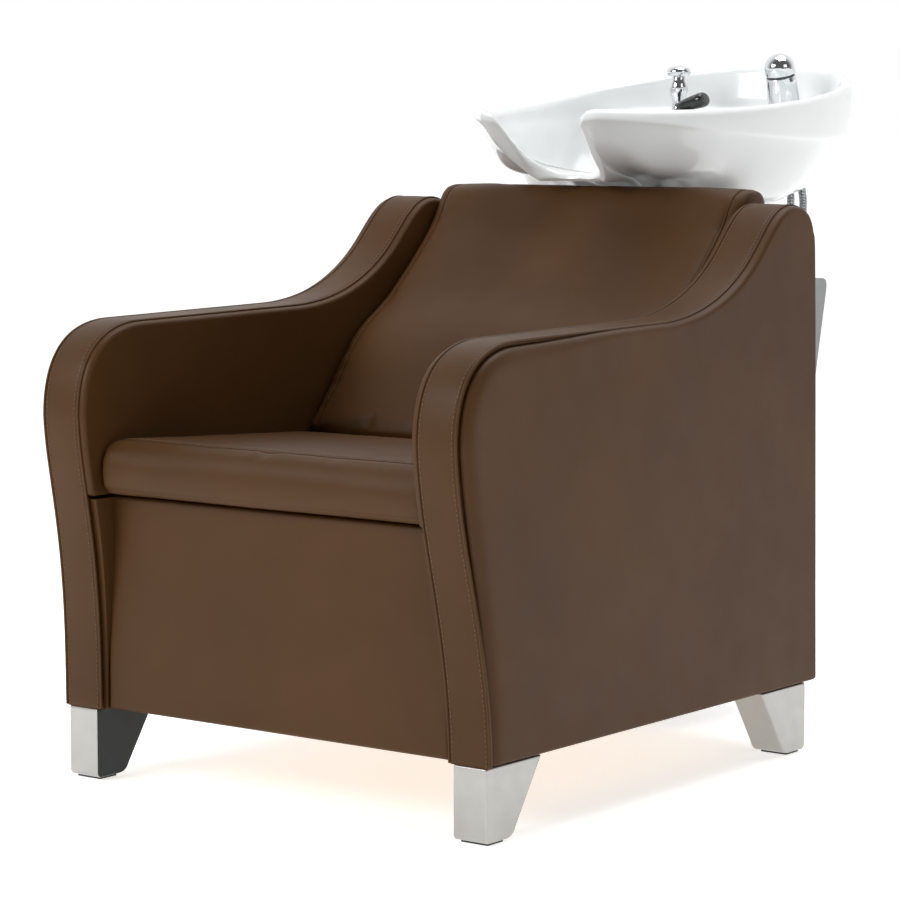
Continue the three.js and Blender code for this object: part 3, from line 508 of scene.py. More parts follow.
def arm_cheek(name, side):
    """The arm's inner side below the seat, from the front panel forward to the band."""
    profile = arm_profile()
    lower_front = profile[(profile[:, 0] < 9) & (profile[:, 1] < SEAT_BOTTOM - 2)]
    rings = []
    for y, z in lower_front:
        inner = mix(APRON_HALF, INNER_FACE, smooth((z - LEG_HEIGHT) / (SEAT_BOTTOM - LEG_HEIGHT)))
        front, back = y + BAND_THICKNESS + 0.4, APRON_FACE - 0.3
        corners = [(inner, back), (inner, front + 1), (inner + 0.6, front), (CORE_FRONT_INNER + 6, front),
                   (CORE_FRONT_INNER + 6, back)]
        rings.append([(side * x, max(along, front), z) for x, along in corners])
    lofted(f"arm_cheek_{name}", rings, LEATHER, "chair", (), 40)


def distance_to_edges(points, a, b):
    """How far each point is from the nearest of the straight edges from a to b."""
    ab = b - a
    ap = points[:, None, :] - a[None]
    t = np.clip((ap * ab[None]).sum(-1) / np.maximum((ab**2).sum(-1)[None], 1e-9), 0, 1)
    return np.linalg.norm(ap - t[..., None] * ab[None], axis=-1).min(axis=1)


def rolled_edge(distance, radius):
    """A quarter round from 0 at the edge to 1 at the radius."""
    edge = np.clip(distance / radius, 0, 1)
    return np.sqrt(np.maximum(0, 1 - (1 - edge) ** 2))


def pad_height(points, outline, crisp, thickness, radius, crown):
    """A pad's height above its base: a rolled edge, then a slight crown. crisp marks the
    outline's edges that roll over tightly instead."""
    following = np.roll(outline, -1, axis=0)
    soft = distance_to_edges(points, outline[~crisp], following[~crisp])
    height = rolled_edge(soft, radius)
    if crisp.any():
        tight = distance_to_edges(points, outline[crisp], following[crisp])
        height = np.minimum(height, rolled_edge(tight, CRISP_ROLL))
    return thickness * (0.2 + 0.8 * height) + crown * smooth((soft - radius) / 140)


def padded_panel(name, outline, spine, place, thickness, body, stands_for, radius, crown=1.2, crisp=None):
    """A flat upholstered pad. outline and spine are in the panel's own plane, radius gives
    the edge's roll at points of it, and place(u, v, h) puts a point, h above the base, in the room."""
    outline = np.asarray(outline, dtype=float)
    crisp = np.zeros(len(outline), dtype=bool) if crisp is None else crisp
    start, end = (np.array(p, dtype=float) for p in spine)
    run = end - start
    t = np.clip(((outline - start) @ run) / (run @ run), 0, 1)
    towards = start + t[:, None] * run - outline
    length = np.linalg.norm(towards, axis=1)
    rings = [[place(u, v, 0) for u, v in outline]]
    steps = [depth / length for depth in (0, 0.8, 2, 3.6, 5.6, 8, 11, 16, 24, 36)]
    steps += [np.maximum(share, 36 / length) for share in (0.3, 0.5, 0.7, 0.86, 0.95)]
    for step in steps:
        moved = outline + towards * step[:, None]
        height = pad_height(moved, outline, crisp, thickness, radius(moved), crown)
        rings.append([place(u, v, h) for (u, v), h in zip(moved, height)])
    piece = lofted(name, rings, LEATHER, body, stands_for)
    return piece


def same_roll(radius):
    return lambda points: np.full(len(points), float(radius))


def outer_roll(points):
    """The outer panel rolls over softly at the arm's front and tightly towards the rear."""
    return mix(SOFT_ROLL, REAR_ROLL, smooth((points[:, 0] - 60) / 260))


def closed_below(outline, low, spacing=8):
    """An arm outline closed along its lower edge, evenly spaced."""
    floor = evenly([(outline[-1][0], low), (outline[0][0], low)], spacing)
    return np.concatenate([outline, floor[1:-1]])


def arm_panels(name, side):
    profile = arm_profile()
    inset = mix(PANEL_INSET, 2, smooth((profile[:, 0] - 60) / 260))
    inset = mix(inset, 0.4, smooth((profile[:, 0] - 745) / 25))
    outline = profile + inward(profile) * inset[:, None]
    outline[:, 1] = np.maximum(outline[:, 1], LEG_HEIGHT + 0.3)
    outer = closed_below(outline, LEG_HEIGHT + 0.3)
    crisp = (outer[:, 0] > 760) & (outer[:, 1] < 740) | (outer[:, 1] < LEG_HEIGHT + 1)
    padded_panel(
        f"outer_panel_leather_{name}", outer, ((210, 330), (600, 400)),
        lambda u, v, h: (side * (BAND_OUTER + 0.3 + h), u, v), 13.6, "chair", [f"outer_panel_{name}"],
        outer_roll, 0.8, crisp,
    )
    low = SEAT_BOTTOM - 2
    inner_outline = profile + inward(profile) * INNER_PANEL_INSET
    inner_outline[:, 0] = np.minimum(inner_outline[:, 0], REAR_PANEL_FACE - 1.5)
    upper = closed_below(inner_outline[inner_outline[:, 1] > low], low)
    padded_panel(
        f"inner_panel_leather_{name}", upper, ((40, 510), (660, 600)),
        lambda u, v, h: (side * (BAND_INNER - 0.3 - h), u, v), BAND_INNER - 0.3 - INNER_FACE, "chair",
        [f"inner_panel_{name}"], same_roll(6), 0.0,
    )


def piping(name, path):
    tube(name, path, PIPING_RADIUS, PIPING, "chair", (), 10)


def stitches(name, path, body="chair"):
    """A row of separate thread stitches along a path."""
    path = evenly(path, STITCH_PITCH)
    points, faces = [], []
    for a, b in zip(path[:-1], path[1:]):
        along = (b - a) / np.linalg.norm(b - a)
        run = a + np.outer([0, 0.12, 0.88, 1], along * STITCH_LENGTH)
        rings = tube_rings(run, np.array([0.4, 1, 1, 0.4]) * STITCH_RADIUS, 6)
        first = len(points)
        for ring in rings:
            points.extend(ring)
        faces.extend(ring_faces(4, 6, first))
        faces.append(tuple(first + i for i in reversed(range(6))))
        faces.append(tuple(first + 18 + i for i in range(6)))
    return make_piece(name, points, faces, THREAD, body)


def arm_edges(name, side):
    """Piping on both edges of the band, with a row of stitches beside each."""
    for edge, which, outwards in (("inner", 0, -1), ("outer", 1, 1)):
        piping(f"arm_piping_{edge}_{name}", edge_path(side, which, 0.4 * outwards, 1.6))
        stitches(f"arm_stitches_{edge}_{name}", edge_path(side, which, -5 * outwards, 0.35))


def rect_outline(u0, u1, v0, v1, spacing=8):
    corners = [(u0, v0), (u0, v1), (u1, v1), (u1, v0), (u0, v0)]
    sides = [evenly([a, b], spacing)[:-1] for a, b in zip(corners, corners[1:])]
    return np.concatenate(sides)


def body_panels():
    padded_panel(
        "front_apron_leather", rect_outline(-APRON_HALF, APRON_HALF, LEG_HEIGHT + 0.5, SEAT_BOTTOM - 3),
        ((-140, 246), (140, 246)), lambda u, v, h: (u, APRON_BACK - h, v), APRON_BACK - APRON_FACE, "chair",
        ["front_apron"], same_roll(5), 0.6,
    )
    padded_panel(
        "rear_panel_leather", rect_outline(-REAR_PANEL_HALF, REAR_PANEL_HALF, LEG_HEIGHT + 0.5, 699.5),
        ((0, 370), (0, 430)), lambda u, v, h: (u, REAR_PANEL_FACE + h, v), 16.5, "chair", ["rear_panel"],
        same_roll(6), 0.3,
    )


def cushion_form(name, section, half, end_radius, crown):
    """A cushion as sections along X. section is its (Y, Z) outline, clockwise; its ends are
    rounded and crown(x, y, z) moves each point."""
    loop = evenly(np.concatenate([section, section[:1]]), 9)[:-1]
    along = np.roll(loop, -1, axis=0) - np.roll(loop, 1, axis=0)
    along /= np.linalg.norm(along, axis=1)[:, None]
    into = np.stack([along[:, 1], -along[:, 0]], axis=1)
    turns = np.linspace(0, math.pi / 2, 7)
    ends = [(half - end_radius + end_radius * math.sin(a), end_radius * (1 - math.cos(a))) for a in turns]
    inner = half - end_radius
    middle = [(x, 0) for x in np.linspace(-inner, inner, 50)[1:-1]]
    stations = [(-x, d) for x, d in reversed(ends)] + middle + ends
    rings = []
    for x, inset in stations:
        moved = loop + into * inset
        rings.append([crown(x, y, z) for y, z in moved])
    size = len(loop)
    faces = ring_faces(len(rings), size)
    faces.append(tuple(reversed(range(size))))
    faces.append(tuple(range(size * (len(rings) - 1), size * len(rings))))
    return make_piece(name, np.concatenate(rings), faces, LEATHER, None)


def puff(piece, voxel_mm, pressure, limit_mm, keep):
    """Blows the cushion's cover up against its own cloth, then caps how far a point may move.
    keep(points) returns the points pushed back inside the space that the cushion has."""
    remesh = piece.modifiers.new("even_mesh", "REMESH")
    remesh.mode = "VOXEL"
    remesh.voxel_size = voxel_mm / 1000
    apply_modifiers(piece)
    rest = np.array([v.co for v in piece.data.vertices])
    cloth = piece.modifiers.new("cover", "CLOTH")
    cloth.settings.quality = 4
    cloth.settings.mass = 0.35
    cloth.settings.tension_stiffness = 12
    cloth.settings.compression_stiffness = 12
    cloth.settings.bending_stiffness = 2.5
    cloth.settings.use_pressure = True
    cloth.settings.uniform_pressure_force = pressure
    cloth.settings.effector_weights.gravity = 0
    cloth.point_cache.frame_start = 1
    cloth.point_cache.frame_end = 20
    for step in range(1, 21):
        bpy.context.scene.frame_set(step)
    apply_modifiers(piece)
    bpy.context.scene.frame_set(1)
    moved = np.array([v.co for v in piece.data.vertices])
    step = moved - rest
    length = np.linalg.norm(step, axis=1)[:, None]
    limit = limit_mm / 1000
    eased = limit * np.tanh(length / limit) / np.maximum(length, 1e-9)
    moved = keep(rest + step * eased)
    piece.data.vertices.foreach_set("co", moved.ravel())
    divide = piece.modifiers.new("fine_mesh", "SUBSURF")
    divide.levels = divide.render_levels = 1
    apply_modifiers(piece)
    for face in piece.data.polygons:
        face.use_smooth = True


def groove(piece, height_of, depth_mm, width_mm):
    """Presses a seam into a cushion; height_of gives each vertex's distance from the seam."""
    mesh = piece.data
    points = np.array([v.co for v in mesh.vertices])
    normals = np.array([v.normal for v in mesh.vertices])
    away = height_of(points * 1000 + np.array([0, MIDDLE_Y, 0]))
    press = depth_mm / 1000 * np.exp(-((away / width_mm) ** 2))
    mesh.vertices.foreach_set("co", (points - normals * press[:, None]).ravel())
    mesh.update()


def laid_on(piece, path, direction, lift=0.0):
    """The path dropped on to the piece's surface along a direction, in millimetres."""
    tree = BVHTree.FromObject(piece, bpy.context.evaluated_depsgraph_get())
    heading = Vector(direction).normalized()
    made = []
    for point in metres(path):
        hit = tree.ray_cast(Vector(point), heading)[0]
        if hit is not None:
            hit = hit - heading * (lift / 1000)
            made.append((hit.x * 1000, hit.y * 1000 + MIDDLE_Y, hit.z * 1000))
    return made


def seat_cushion():
    section = np.concatenate([
        bezier((SEAT_FRONT, SEAT_BOTTOM + 0.8), (SEAT_FRONT - 9, 408), (SEAT_FRONT - 11, 438),
               (SEAT_FRONT - 2, 453), 8),
        bezier((SEAT_FRONT - 2, 453), (SEAT_FRONT + 4, 463), (SEAT_FRONT + 12, 467),
               (SEAT_FRONT + 26, 467), 6)[1:],
        [(SEAT_REAR, SEAT_TOP_REAR - 3), (SEAT_REAR, SEAT_BOTTOM + 1), (SEAT_FRONT + 14, SEAT_BOTTOM + 1)],
    ])

    def crown(x, y, z):
        across = 1 - (x / CUSHION_HALF) ** 2
        top = smooth((z - 430) / 30)
        return x, y, z + 3.0 * top * across * smooth((y + 20) / 90)

    def keep(points):
        points[:, 0] = np.clip(points[:, 0], -0.2727, 0.2727)
        points[:, 2] = np.maximum(points[:, 2], 0.3965)
        points[:, 1] = np.minimum(points[:, 1], (SEAT_REAR + 3 - MIDDLE_Y) / 1000)
        return points

    piece = cushion_form("seat_cushion_leather", section, CUSHION_HALF, 5, crown)
    puff(piece, 5.5, 3.0, 4, keep)
    seam_y = SEAT_FRONT + 27
    groove(piece, lambda p: np.where(p[:, 2] > 440, np.abs(p[:, 1] - seam_y), 50), 1.5, 3.2)
    groove(piece, lambda p: np.where(p[:, 1] < 0, np.abs(p[:, 2] - (SEAT_BOTTOM + 7)), 50), 1.2, 3.0)
    place_piece(piece, "chair", ["seat_cushion"])
    across = np.linspace(-262, 262, 90)
    seam = laid_on(piece, [(x, seam_y, 520) for x in across], (0, 0, -1), 0.3)
    tube("seat_seam_cord", seam, 1.1, PIPING, "chair", (), 8)
    row = laid_on(piece, [(x, seam_y + 6, 520) for x in across], (0, 0, -1), 0.2)
    stitches("seat_stitches", row)


def back_cushion():
    front = spline([(405, 453), (477, 547), (523, 593), (594, 644), (679, 725), (716, 776)], 8)
    section = np.concatenate([
        front,
        bezier(front[-1], (725, 790), (736, 797), (750, 797), 5)[1:],
        bezier((750, 797), (776, 797), (782, 792), (782, 768), 6)[1:],
        [(781, 704), (766, 704), (460, 396), (440, 398)],
    ])

    def crown(x, y, z):
        across = 1 - (abs(x) / CUSHION_HALF) ** 2.6
        high = smooth((z - 640) / 140)
        return x, y - 5 * across * (1 - high), z + 3 * high * across

    def keep(points):
        points[:, 0] = np.clip(points[:, 0], -0.2727, 0.2727)
        points[:, 1] = np.minimum(points[:, 1], (783.5 - MIDDLE_Y) / 1000)
        points[:, 2] = np.minimum(points[:, 2], 0.8015)
        return points

    piece = cushion_form("back_cushion_leather", section, CUSHION_HALF, 11, crown)
    puff(piece, 5.5, 3.0, 5, keep)
    seam_x = 251
    groove(piece, lambda p: np.where(p[:, 2] > 460, np.abs(np.abs(p[:, 0]) - seam_x), 50), 1.6, 3.0)
    place_piece(piece, "chair", ["back_cushion"])
    for name, side in (("left", -1), ("right", 1)):
        starts = [(side * seam_x, y, 760 + (y - 716) * 1.05 + 60) for y in np.linspace(420, 740, 70)]
        seam = laid_on(piece, starts, (0, 0.55, -0.83), 0.4)
        tube(f"back_seam_cord_{name}", seam, 1.2, PIPING, "chair", (), 8)


# ---------------------------------------------------------------- washbowl

DRAIN_Y = 960
BOWL_BOTTOM, BOWL_FLOOR = 763, 780
SADDLE_UNDERSIDE, SADDLE_FLOOR, SADDLE_END, SADDLE_DROP = 804, 812.5, 800, 50
RIM_HALF_WIDTH, RIM_TAPER, RIM_MIDDLE_Y, RIM_HALF_LENGTH = 212, 0.3, 885, 351
RIM_ROLL, NOTCH_ROLL = 17, 10
HORN_ANGLE, HORN_REACH = math.radians(144), 24
NOTCH_Y, NOTCH_Z = 712, 816
NOTCH_SHOULDER = (98, 706, 800)
BAND_FRONT, BAND_REAR = 12, 76
DECK_Z, DECK_EDGE, DECK_THICKNESS = 898, 92, 14
BOWL_WALL, WALL_START, WALL_POWER, FLANK_POWER = 12, 0.33, 2, 4
DRAIN_RADIUS = 24.5
TAP_HOLES = ((91, 1122, 17), (-100, 1115, 14), (-70, 1080, 16))
BOWL_STATIONS = 256


def rim_height(y):
    q = (y - 533.4) / 702.6
    return 910.9 - 46 * q + 106.7 * q * q


def rim_side(t):
    x = RIM_HALF_WIDTH * math.sin(t) * (1 + RIM_TAPER * math.cos(t))
    y = RIM_MIDDLE_Y + RIM_HALF_LENGTH * math.cos(t)
    return np.array([x, y, rim_height(y)])


def rim_points():
    """The rim's inner edge on one side, from the rear to the middle of the neck notch."""
    horn = rim_side(HORN_ANGLE)
    heading = horn - rim_side(HORN_ANGLE - 0.01)
    tip = horn + heading / np.linalg.norm(heading) * HORN_REACH
    notch = bezier(horn, tip, NOTCH_SHOULDER, (0, NOTCH_Y, NOTCH_Z), 60)
    side_part = 0.7
    half = BOWL_STATIONS // 2
    on_rim = int(side_part * half)
    rim = [rim_side(HORN_ANGLE * i / on_rim) for i in range(on_rim)]
    notch_even = evenly(notch, np.linalg.norm(np.diff(notch, axis=0), axis=1).sum() / (half - on_rim))
    return np.array([*rim, *notch_even]), side_part


def underside_at(y):
    return mix(SADDLE_UNDERSIDE, BOWL_BOTTOM, smooth((y - SADDLE_END) / SADDLE_DROP))


def floor_at(y):
    return mix(SADDLE_FLOOR, BOWL_FLOOR, smooth((y - SADDLE_END) / SADDLE_DROP))


def wall_rise(fraction, power):
    along = min(max((fraction - WALL_START) / (1 - WALL_START), 0), 1)
    return 1 - (1 - along**power) ** (1 / power)


def bowl_section(point, out, in_notch):
    """Points up the inside of the bowl, over the rim and down the outside, for one direction
    from the drain."""
    away = np.array([point[0], point[1] - DRAIN_Y])
    distance = np.linalg.norm(away)
    direction = away / distance
    rearward = direction[1]
    deck = smooth((rearward - 0.2) / 0.35)
    band = mix(BAND_FRONT, BAND_REAR, smooth((point[1] - 560) / 640))
    band = min(band, point[2] - SADDLE_UNDERSIDE - 4)
    deck_edge = DECK_EDGE + 70 * (1 - rearward)
    roll = mix(RIM_ROLL, NOTCH_ROLL, in_notch)
    beside_neck = smooth((0.96 + rearward) / 0.1) * smooth((0.3 - rearward) / 0.5)
    power = mix(WALL_POWER, FLANK_POWER, beside_neck)
    fractions = [0.45, 0.6, 0.74, 0.84, 0.92, 0.975]

    def from_drain(radius, height_at):
        x = direction[0] * radius
        y = DRAIN_Y + direction[1] * radius
        return np.array([x, y, height_at(y)])

    def beyond_rim(reach, dz):
        return np.array([point[0] + out[0] * reach, point[1] + out[1] * reach, point[2] + dz])

    section = [from_drain(DRAIN_RADIUS, lambda y: BOWL_FLOOR), from_drain(60, lambda y: BOWL_FLOOR + 1)]
    deck_radii = [deck_edge - 16, deck_edge - 4, deck_edge + 2, deck_edge + 14,
                  mix(deck_edge, distance, 0.6), distance - 16]
    deck_heights = [BOWL_FLOOR + 12, BOWL_FLOOR + 60, DECK_Z - 14, DECK_Z, DECK_Z, DECK_Z + 1]
    for fraction, radius, height in zip(fractions, deck_radii, deck_heights):
        rise = wall_rise(fraction, power)
        wall = from_drain(fraction * distance, lambda y: mix(floor_at(y), point[2], rise))
        section.append(mix(wall, from_drain(radius, lambda y: height), deck))
    dip = mix(-8, -24, deck) * min(1, (point[2] - NOTCH_Z + 10) / 60)
    section.append(beyond_rim(-4, dip))
    section.append(beyond_rim(0, -1))
    section.append(beyond_rim(roll * 0.4, 2))
    section.append(beyond_rim(roll * 0.82, -2))
    section.append(beyond_rim(roll, -8))
    section.append(beyond_rim(roll - 1, -band))
    section.append(beyond_rim(roll - 6, -band - 4))
    low_rim = point[2] - band - 4
    for fraction in reversed(fractions):
        rise = wall_rise(fraction + 0.02, power)
        section.append(from_drain(
            BOWL_WALL + fraction * (distance - 2),
            lambda y: min(mix(underside_at(y), max(low_rim, underside_at(y)), rise), low_rim),
        ))
    section.append(from_drain(60, lambda y: BOWL_BOTTOM))
    section.append(from_drain(DRAIN_RADIUS, lambda y: BOWL_BOTTOM))
    return np.array(section)


def bowl():
    rim, side_part = rim_points()
    half = BOWL_STATIONS // 2
    along = np.gradient(rim, axis=0)
    out = np.stack([-along[:, 1], along[:, 0]], axis=1)
    out /= np.linalg.norm(out, axis=1)[:, None]
    out[0] = (0, 1)
    out[-1] = (0, -1)
    sections = []
    for i in range(half + 1):
        in_notch = smooth((i / half - side_part - 0.1) / 0.08)
        sections.append(corners_cut(bowl_section(rim[i], out[i], in_notch)))
    mirrored = [section * np.array([-1, 1, 1]) for section in sections[-2:0:-1]]
    stations = np.array(sections + mirrored)
    rings = [stations[:, k] for k in range(stations.shape[1])]
    rings.append(rings[0])
    faces = ring_faces(len(rings), len(stations))
    piece = make_piece("ceramic_bowl", np.concatenate(rings), faces, CERAMIC, None)
    hollow_deck(piece)
    place_piece(piece, "bowl_assembly", ["bowl"])


def hollow_deck(piece):
    """Cuts the hollow under the tap deck and the three tap holes."""
    half, front, rear, corner = 121, 1070, 1172, 42
    turn = np.linspace(0, math.pi / 2, 9)
    right = [(half - corner + corner * math.cos(a), rear - corner + corner * math.sin(a)) for a in turn]
    outline = [(-half, front), (half, front), *right, *[(-x, y) for x, y in reversed(right)]]
    low, high = BOWL_BOTTOM - 20, DECK_Z - DECK_THICKNESS
    cutters = [lofted("deck_hollow", [[(x, y, z) for x, y in outline] for z in (low, high)],
                      CERAMIC, None)]
    for x, y, radius in TAP_HOLES:
        points, faces = lathe_points([(0, 860), (radius, 860), (radius, 930), (0, 930)], 48)
        cutters.append(make_piece("tap_hole", points + np.array([x, y, 0]), faces, CERAMIC, None))
    for cutter in cutters:
        cut = piece.modifiers.new("cut", "BOOLEAN")
        cut.operation = "DIFFERENCE"
        cut.solver = "EXACT"
        cut.object = cutter
    apply_modifiers(piece)
    for cutter in cutters:
        bpy.data.objects.remove(cutter)
    tidy_mesh(piece.data, 42)


bowl()
for side_name, side_sign in (("left", -1), ("right", 1)):
    arm_band(side_name, side_sign)
    arm_core(side_name, side_sign)
    arm_cheek(side_name, side_sign)
    arm_panels(side_name, side_sign)
    arm_edges(side_name, side_sign)
body_panels()
seat_cushion()
back_cushion()

# ---------------------------------------------------------------- legs


def leg(name, side, upright_y, direction):
    """A wedge leg of folded metal with rounded lower corners; its inward faces carry painted shade."""
    top, foot, foot_length, top_length, corner = LEG_HEIGHT - 0.3, 3.3, 56, 118, 7
    outline = [(0, top), (0, foot + corner)]
    outline += [(corner - corner * math.cos(a), foot + corner - corner * math.sin(a))
                for a in np.linspace(0, math.pi / 2, 7)[1:]]
    outline += bezier((foot_length - 14, foot), (foot_length - 2, foot), (foot_length + 3, foot + 4),
                      (foot_length + 8, foot + 14), 6).tolist()
    outline.append((top_length, top))
    rings = []
    for x in (LEG_INNER, LEG_OUTER):
        rings.append([(side * x, upright_y + direction * y, z) for y, z in outline])
    piece = lofted(f"leg_metal_{name}", rings, SATIN, "chair", [f"leg_{name}"], 30)
    # Faces turned in towards the chair's middle get the darker copy of the metal, which is painted shade.
    piece.data.materials.append(LEG_PAINTED_SHADE)
    for face in piece.data.polygons:
        if face.normal.x * side < -0.9:
            face.material_index = 1
    bevel(piece, 2.6, 4)


for side_name, side_sign in (("left", -1), ("right", 1)):
    leg(f"front_{side_name}", side_sign, 0, 1)
    leg(f"rear_{side_name}", side_sign, REAR_LEG_END, -1)

# ---------------------------------------------------------------- fittings on the deck

MIXER_X, MIXER_Y, MIXER_LEAN, MIXER_SEAM = 91, 1122, math.radians(15), 64
MIXER_DOME = 32
LEVER_HEADING = math.radians(127)


def in_mixer(points):
    """Points of the mixer's leaning frame, moved on to the deck."""
    points = np.asarray(points, dtype=float)
    c, s = math.cos(MIXER_LEAN), math.sin(MIXER_LEAN)
    x, y, z = points[:, 0], points[:, 1], points[:, 2]
    return np.stack([MIXER_X + x, MIXER_Y + y * c - z * s, DECK_Z + y * s + z * c], axis=1)


def mixer():
    turned("mixer_flange", [(0, 1), (30, 1), (30, 3), (27, 6), (24, 7), (0, 7)], (MIXER_X, MIXER_Y, DECK_Z),
           CHROME, "bowl_assembly")
    turned("mixer_shank", [(0, -40), (15, -40), (15, 2), (0, 2)], (MIXER_X, MIXER_Y, DECK_Z),
           CHROME, "bowl_assembly")
    column = [(0, 3), (25, 3), (24.8, 12), (24, 30), (23, MIXER_SEAM - 3), (0, MIXER_SEAM - 3)]
    turned("mixer_column", column, None, CHROME, "bowl_assembly", ["mixer_body"], in_mixer)
    ring = [(0, MIXER_SEAM - 2.8), (21.4, MIXER_SEAM - 2.8), (21.4, MIXER_SEAM - 0.2), (0, MIXER_SEAM - 0.2)]
    turned("mixer_cartridge_ring", ring, None, DARK_STEEL, "mixer_carrier", ["mixer_ring"],
           in_mixer, 0.2)
    lever()


def lever():
    """The dome with its handle, which is a tapering flat bar."""
    height = MIXER_SEAM + MIXER_DOME
    dome = [(0, MIXER_SEAM), (22.6, MIXER_SEAM), (23.5, MIXER_SEAM + 1.2)]
    dome += [(23.5 * math.cos(a), height - 22 + 22 * math.sin(a)) for a in np.linspace(0, math.pi / 2, 14)]
    points, faces = lathe_points(rounded(dome, 0.6))
    make_piece("mixer_dome", in_mixer(points), faces, CHROME, "mixer_handle", ["mixer_lever"], 50)
    c, s = math.cos(LEVER_HEADING), math.sin(LEVER_HEADING)
    # distance along the bar, half width, underside and top above the seam
    stations = ((8, 7, 8, 15), (26, 6.8, 8, 15), (48, 5.6, 8.4, 15), (60, 5, 9, 14.6), (64, 3.4, 10, 13.6))
    rings = []
    for along, half, low, high in stations:
        corners = [(half * np.sign(math.cos(a)) * abs(math.cos(a)) ** 0.6,
                    (high - low) / 2 * np.sign(math.sin(a)) * abs(math.sin(a)) ** 0.6)
                   for a in np.linspace(0, 2 * math.pi, 24, endpoint=False)]
        rings.append(in_mixer([(along * c - w * s, along * s + w * c, MIXER_SEAM + (low + high) / 2 + h)
                               for w, h in corners]))
    lofted("mixer_handle_bar", rings, CHROME, "mixer_handle")


def breaker():
    at = (-100, 1115, DECK_Z)
    body = [(0, -42), (11, -42), (11, 1), (15.5, 1), (16.5, 3), (12, 6), (9.8, 12), (9.5, 20), (11.5, 29),
            (14, 36), (14.6, 43), (13, 50), (10.6, 55), (10.4, 60), (0, 60)]
    turned("breaker_bulb", body, at, CHROME, "bowl_assembly", ["breaker_body"], round_by=2.4)
    cap = [(0, 60.3), (15.5, 60.3), (18.6, 63.5), (19, 68), (16.5, 72.5), (10, 75.2), (0, 76)]
    turned("breaker_mushroom", cap, at, CHROME, "bowl_assembly", ["breaker_cap"], round_by=2.2)


def spray():
    x, y = -70, 1080
    collar = [(11.5, -22), (15, -22), (15, 1), (20, 1), (20, 3), (18, 5), (11.5, 5), (11.5, -22)]
    turned("spray_collar", collar, (x, y, DECK_Z), CHROME, "bowl_assembly", ["spray_holder"],
           round_by=0.6)
    turned("spray_stem", [(0, -20), (10.5, -20), (10.5, 10), (9, 13), (0, 13)], (x, y, DECK_Z),
           BLACK, "spray")
    head = [(0, -8), (9, -8), (11, -2), (12.5, 4), (14, 18), (16, 34), (15, 40), (12, 42.5), (0, 43)]
    points, faces = lathe_points(rounded(head, 1.6))
    tilt = math.radians(75)
    flat = points * np.array([0.75, 1, 1])
    turned_x = flat[:, 0] * math.cos(tilt) + flat[:, 2] * math.sin(tilt)
    turned_z = -flat[:, 0] * math.sin(tilt) + flat[:, 2] * math.cos(tilt)
    moved = np.stack([turned_x + x + 1, flat[:, 1] + y, turned_z + DECK_Z + 14], axis=1)
    make_piece("spray_hand_piece", moved, faces, BLACK, "spray", ["spray_head"], 50)


mixer()
breaker()
spray()

# ---------------------------------------------------------------- hoses and pipes


SUPPLY_RADIUS, LINK_RADIUS, SPRAY_HOSE_RADIUS, WASTE_PIPE_RADIUS = 6, 5, 6, 16


def hose(name, points, radius, stands_for, body="bowl_assembly"):
    path = evenly(spline(points, 10), 5)
    return tube(name, path, radius, BRAID, body, [stands_for], 20)


def metre_point(x, y, z):
    return tuple(metres([(x, y, z)])[0])


def hoses():
    top = MIXER_Y + 3
    hot = hose("supply_hose_hot_braid", [
        (83, top, 857), (83, top + 2, 838), (86, 1145, 790), (86, 1141, 735), (76, 1098, 640),
        (62, 1020, 560), (62, 990, 512.3), (62, 990, 490.3),
    ], SUPPLY_RADIUS, "supply_hose_hot", None)
    cold = hose("supply_hose_cold_braid", [
        (99, top, 857), (100, top + 2, 838), (106, 1146, 790), (110, 1142, 735), (109, 1098, 640),
        (108, 1020, 560), (108, 990, 512.3), (108, 990, 490.3),
    ], SUPPLY_RADIUS, "supply_hose_cold", None)
    for piece in (hot, cold):
        metre_point(85, 1050, 600)
        metre_point(95, 1140, 820)
        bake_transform(piece)
    hose("link_hose_braid", [
        (91, 1114, 857), (90, 1113, 842), (72, 1108, 812), (20, 1112, 800),
        (-50, 1130, 802), (-94, 1134, 818), (-105, 1122, 842), (-105, 1121, 855),
    ], LINK_RADIUS, "link_hose")
    # The spray hose falls to the bottom of its loop and rises straight up through its hole.
    loop_bottom = (-84, 1094, 716)
    falling = [(-98, 1108, 855), (-98, 1108, 800), (-98, 1108, 740), (-94, 1104, 723), loop_bottom]
    rising = [loop_bottom, (-74, 1084, 723), (-70, 1080, 740), (-70, 1080, 800), (-70, 1080, 877)]
    tube("spray_hose_falling", evenly(spline(falling, 10), 4), SPRAY_HOSE_RADIUS, BRAID, "bowl_assembly",
         (), 20)
    feed = tube("spray_hose_rising", evenly(spline(rising, 10), 4), SPRAY_HOSE_RADIUS, BRAID, None,
                ["spray_hose"], 20)
    metre_point(*loop_bottom)
    metre_point(-70, 1080, 870)
    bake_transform(feed)


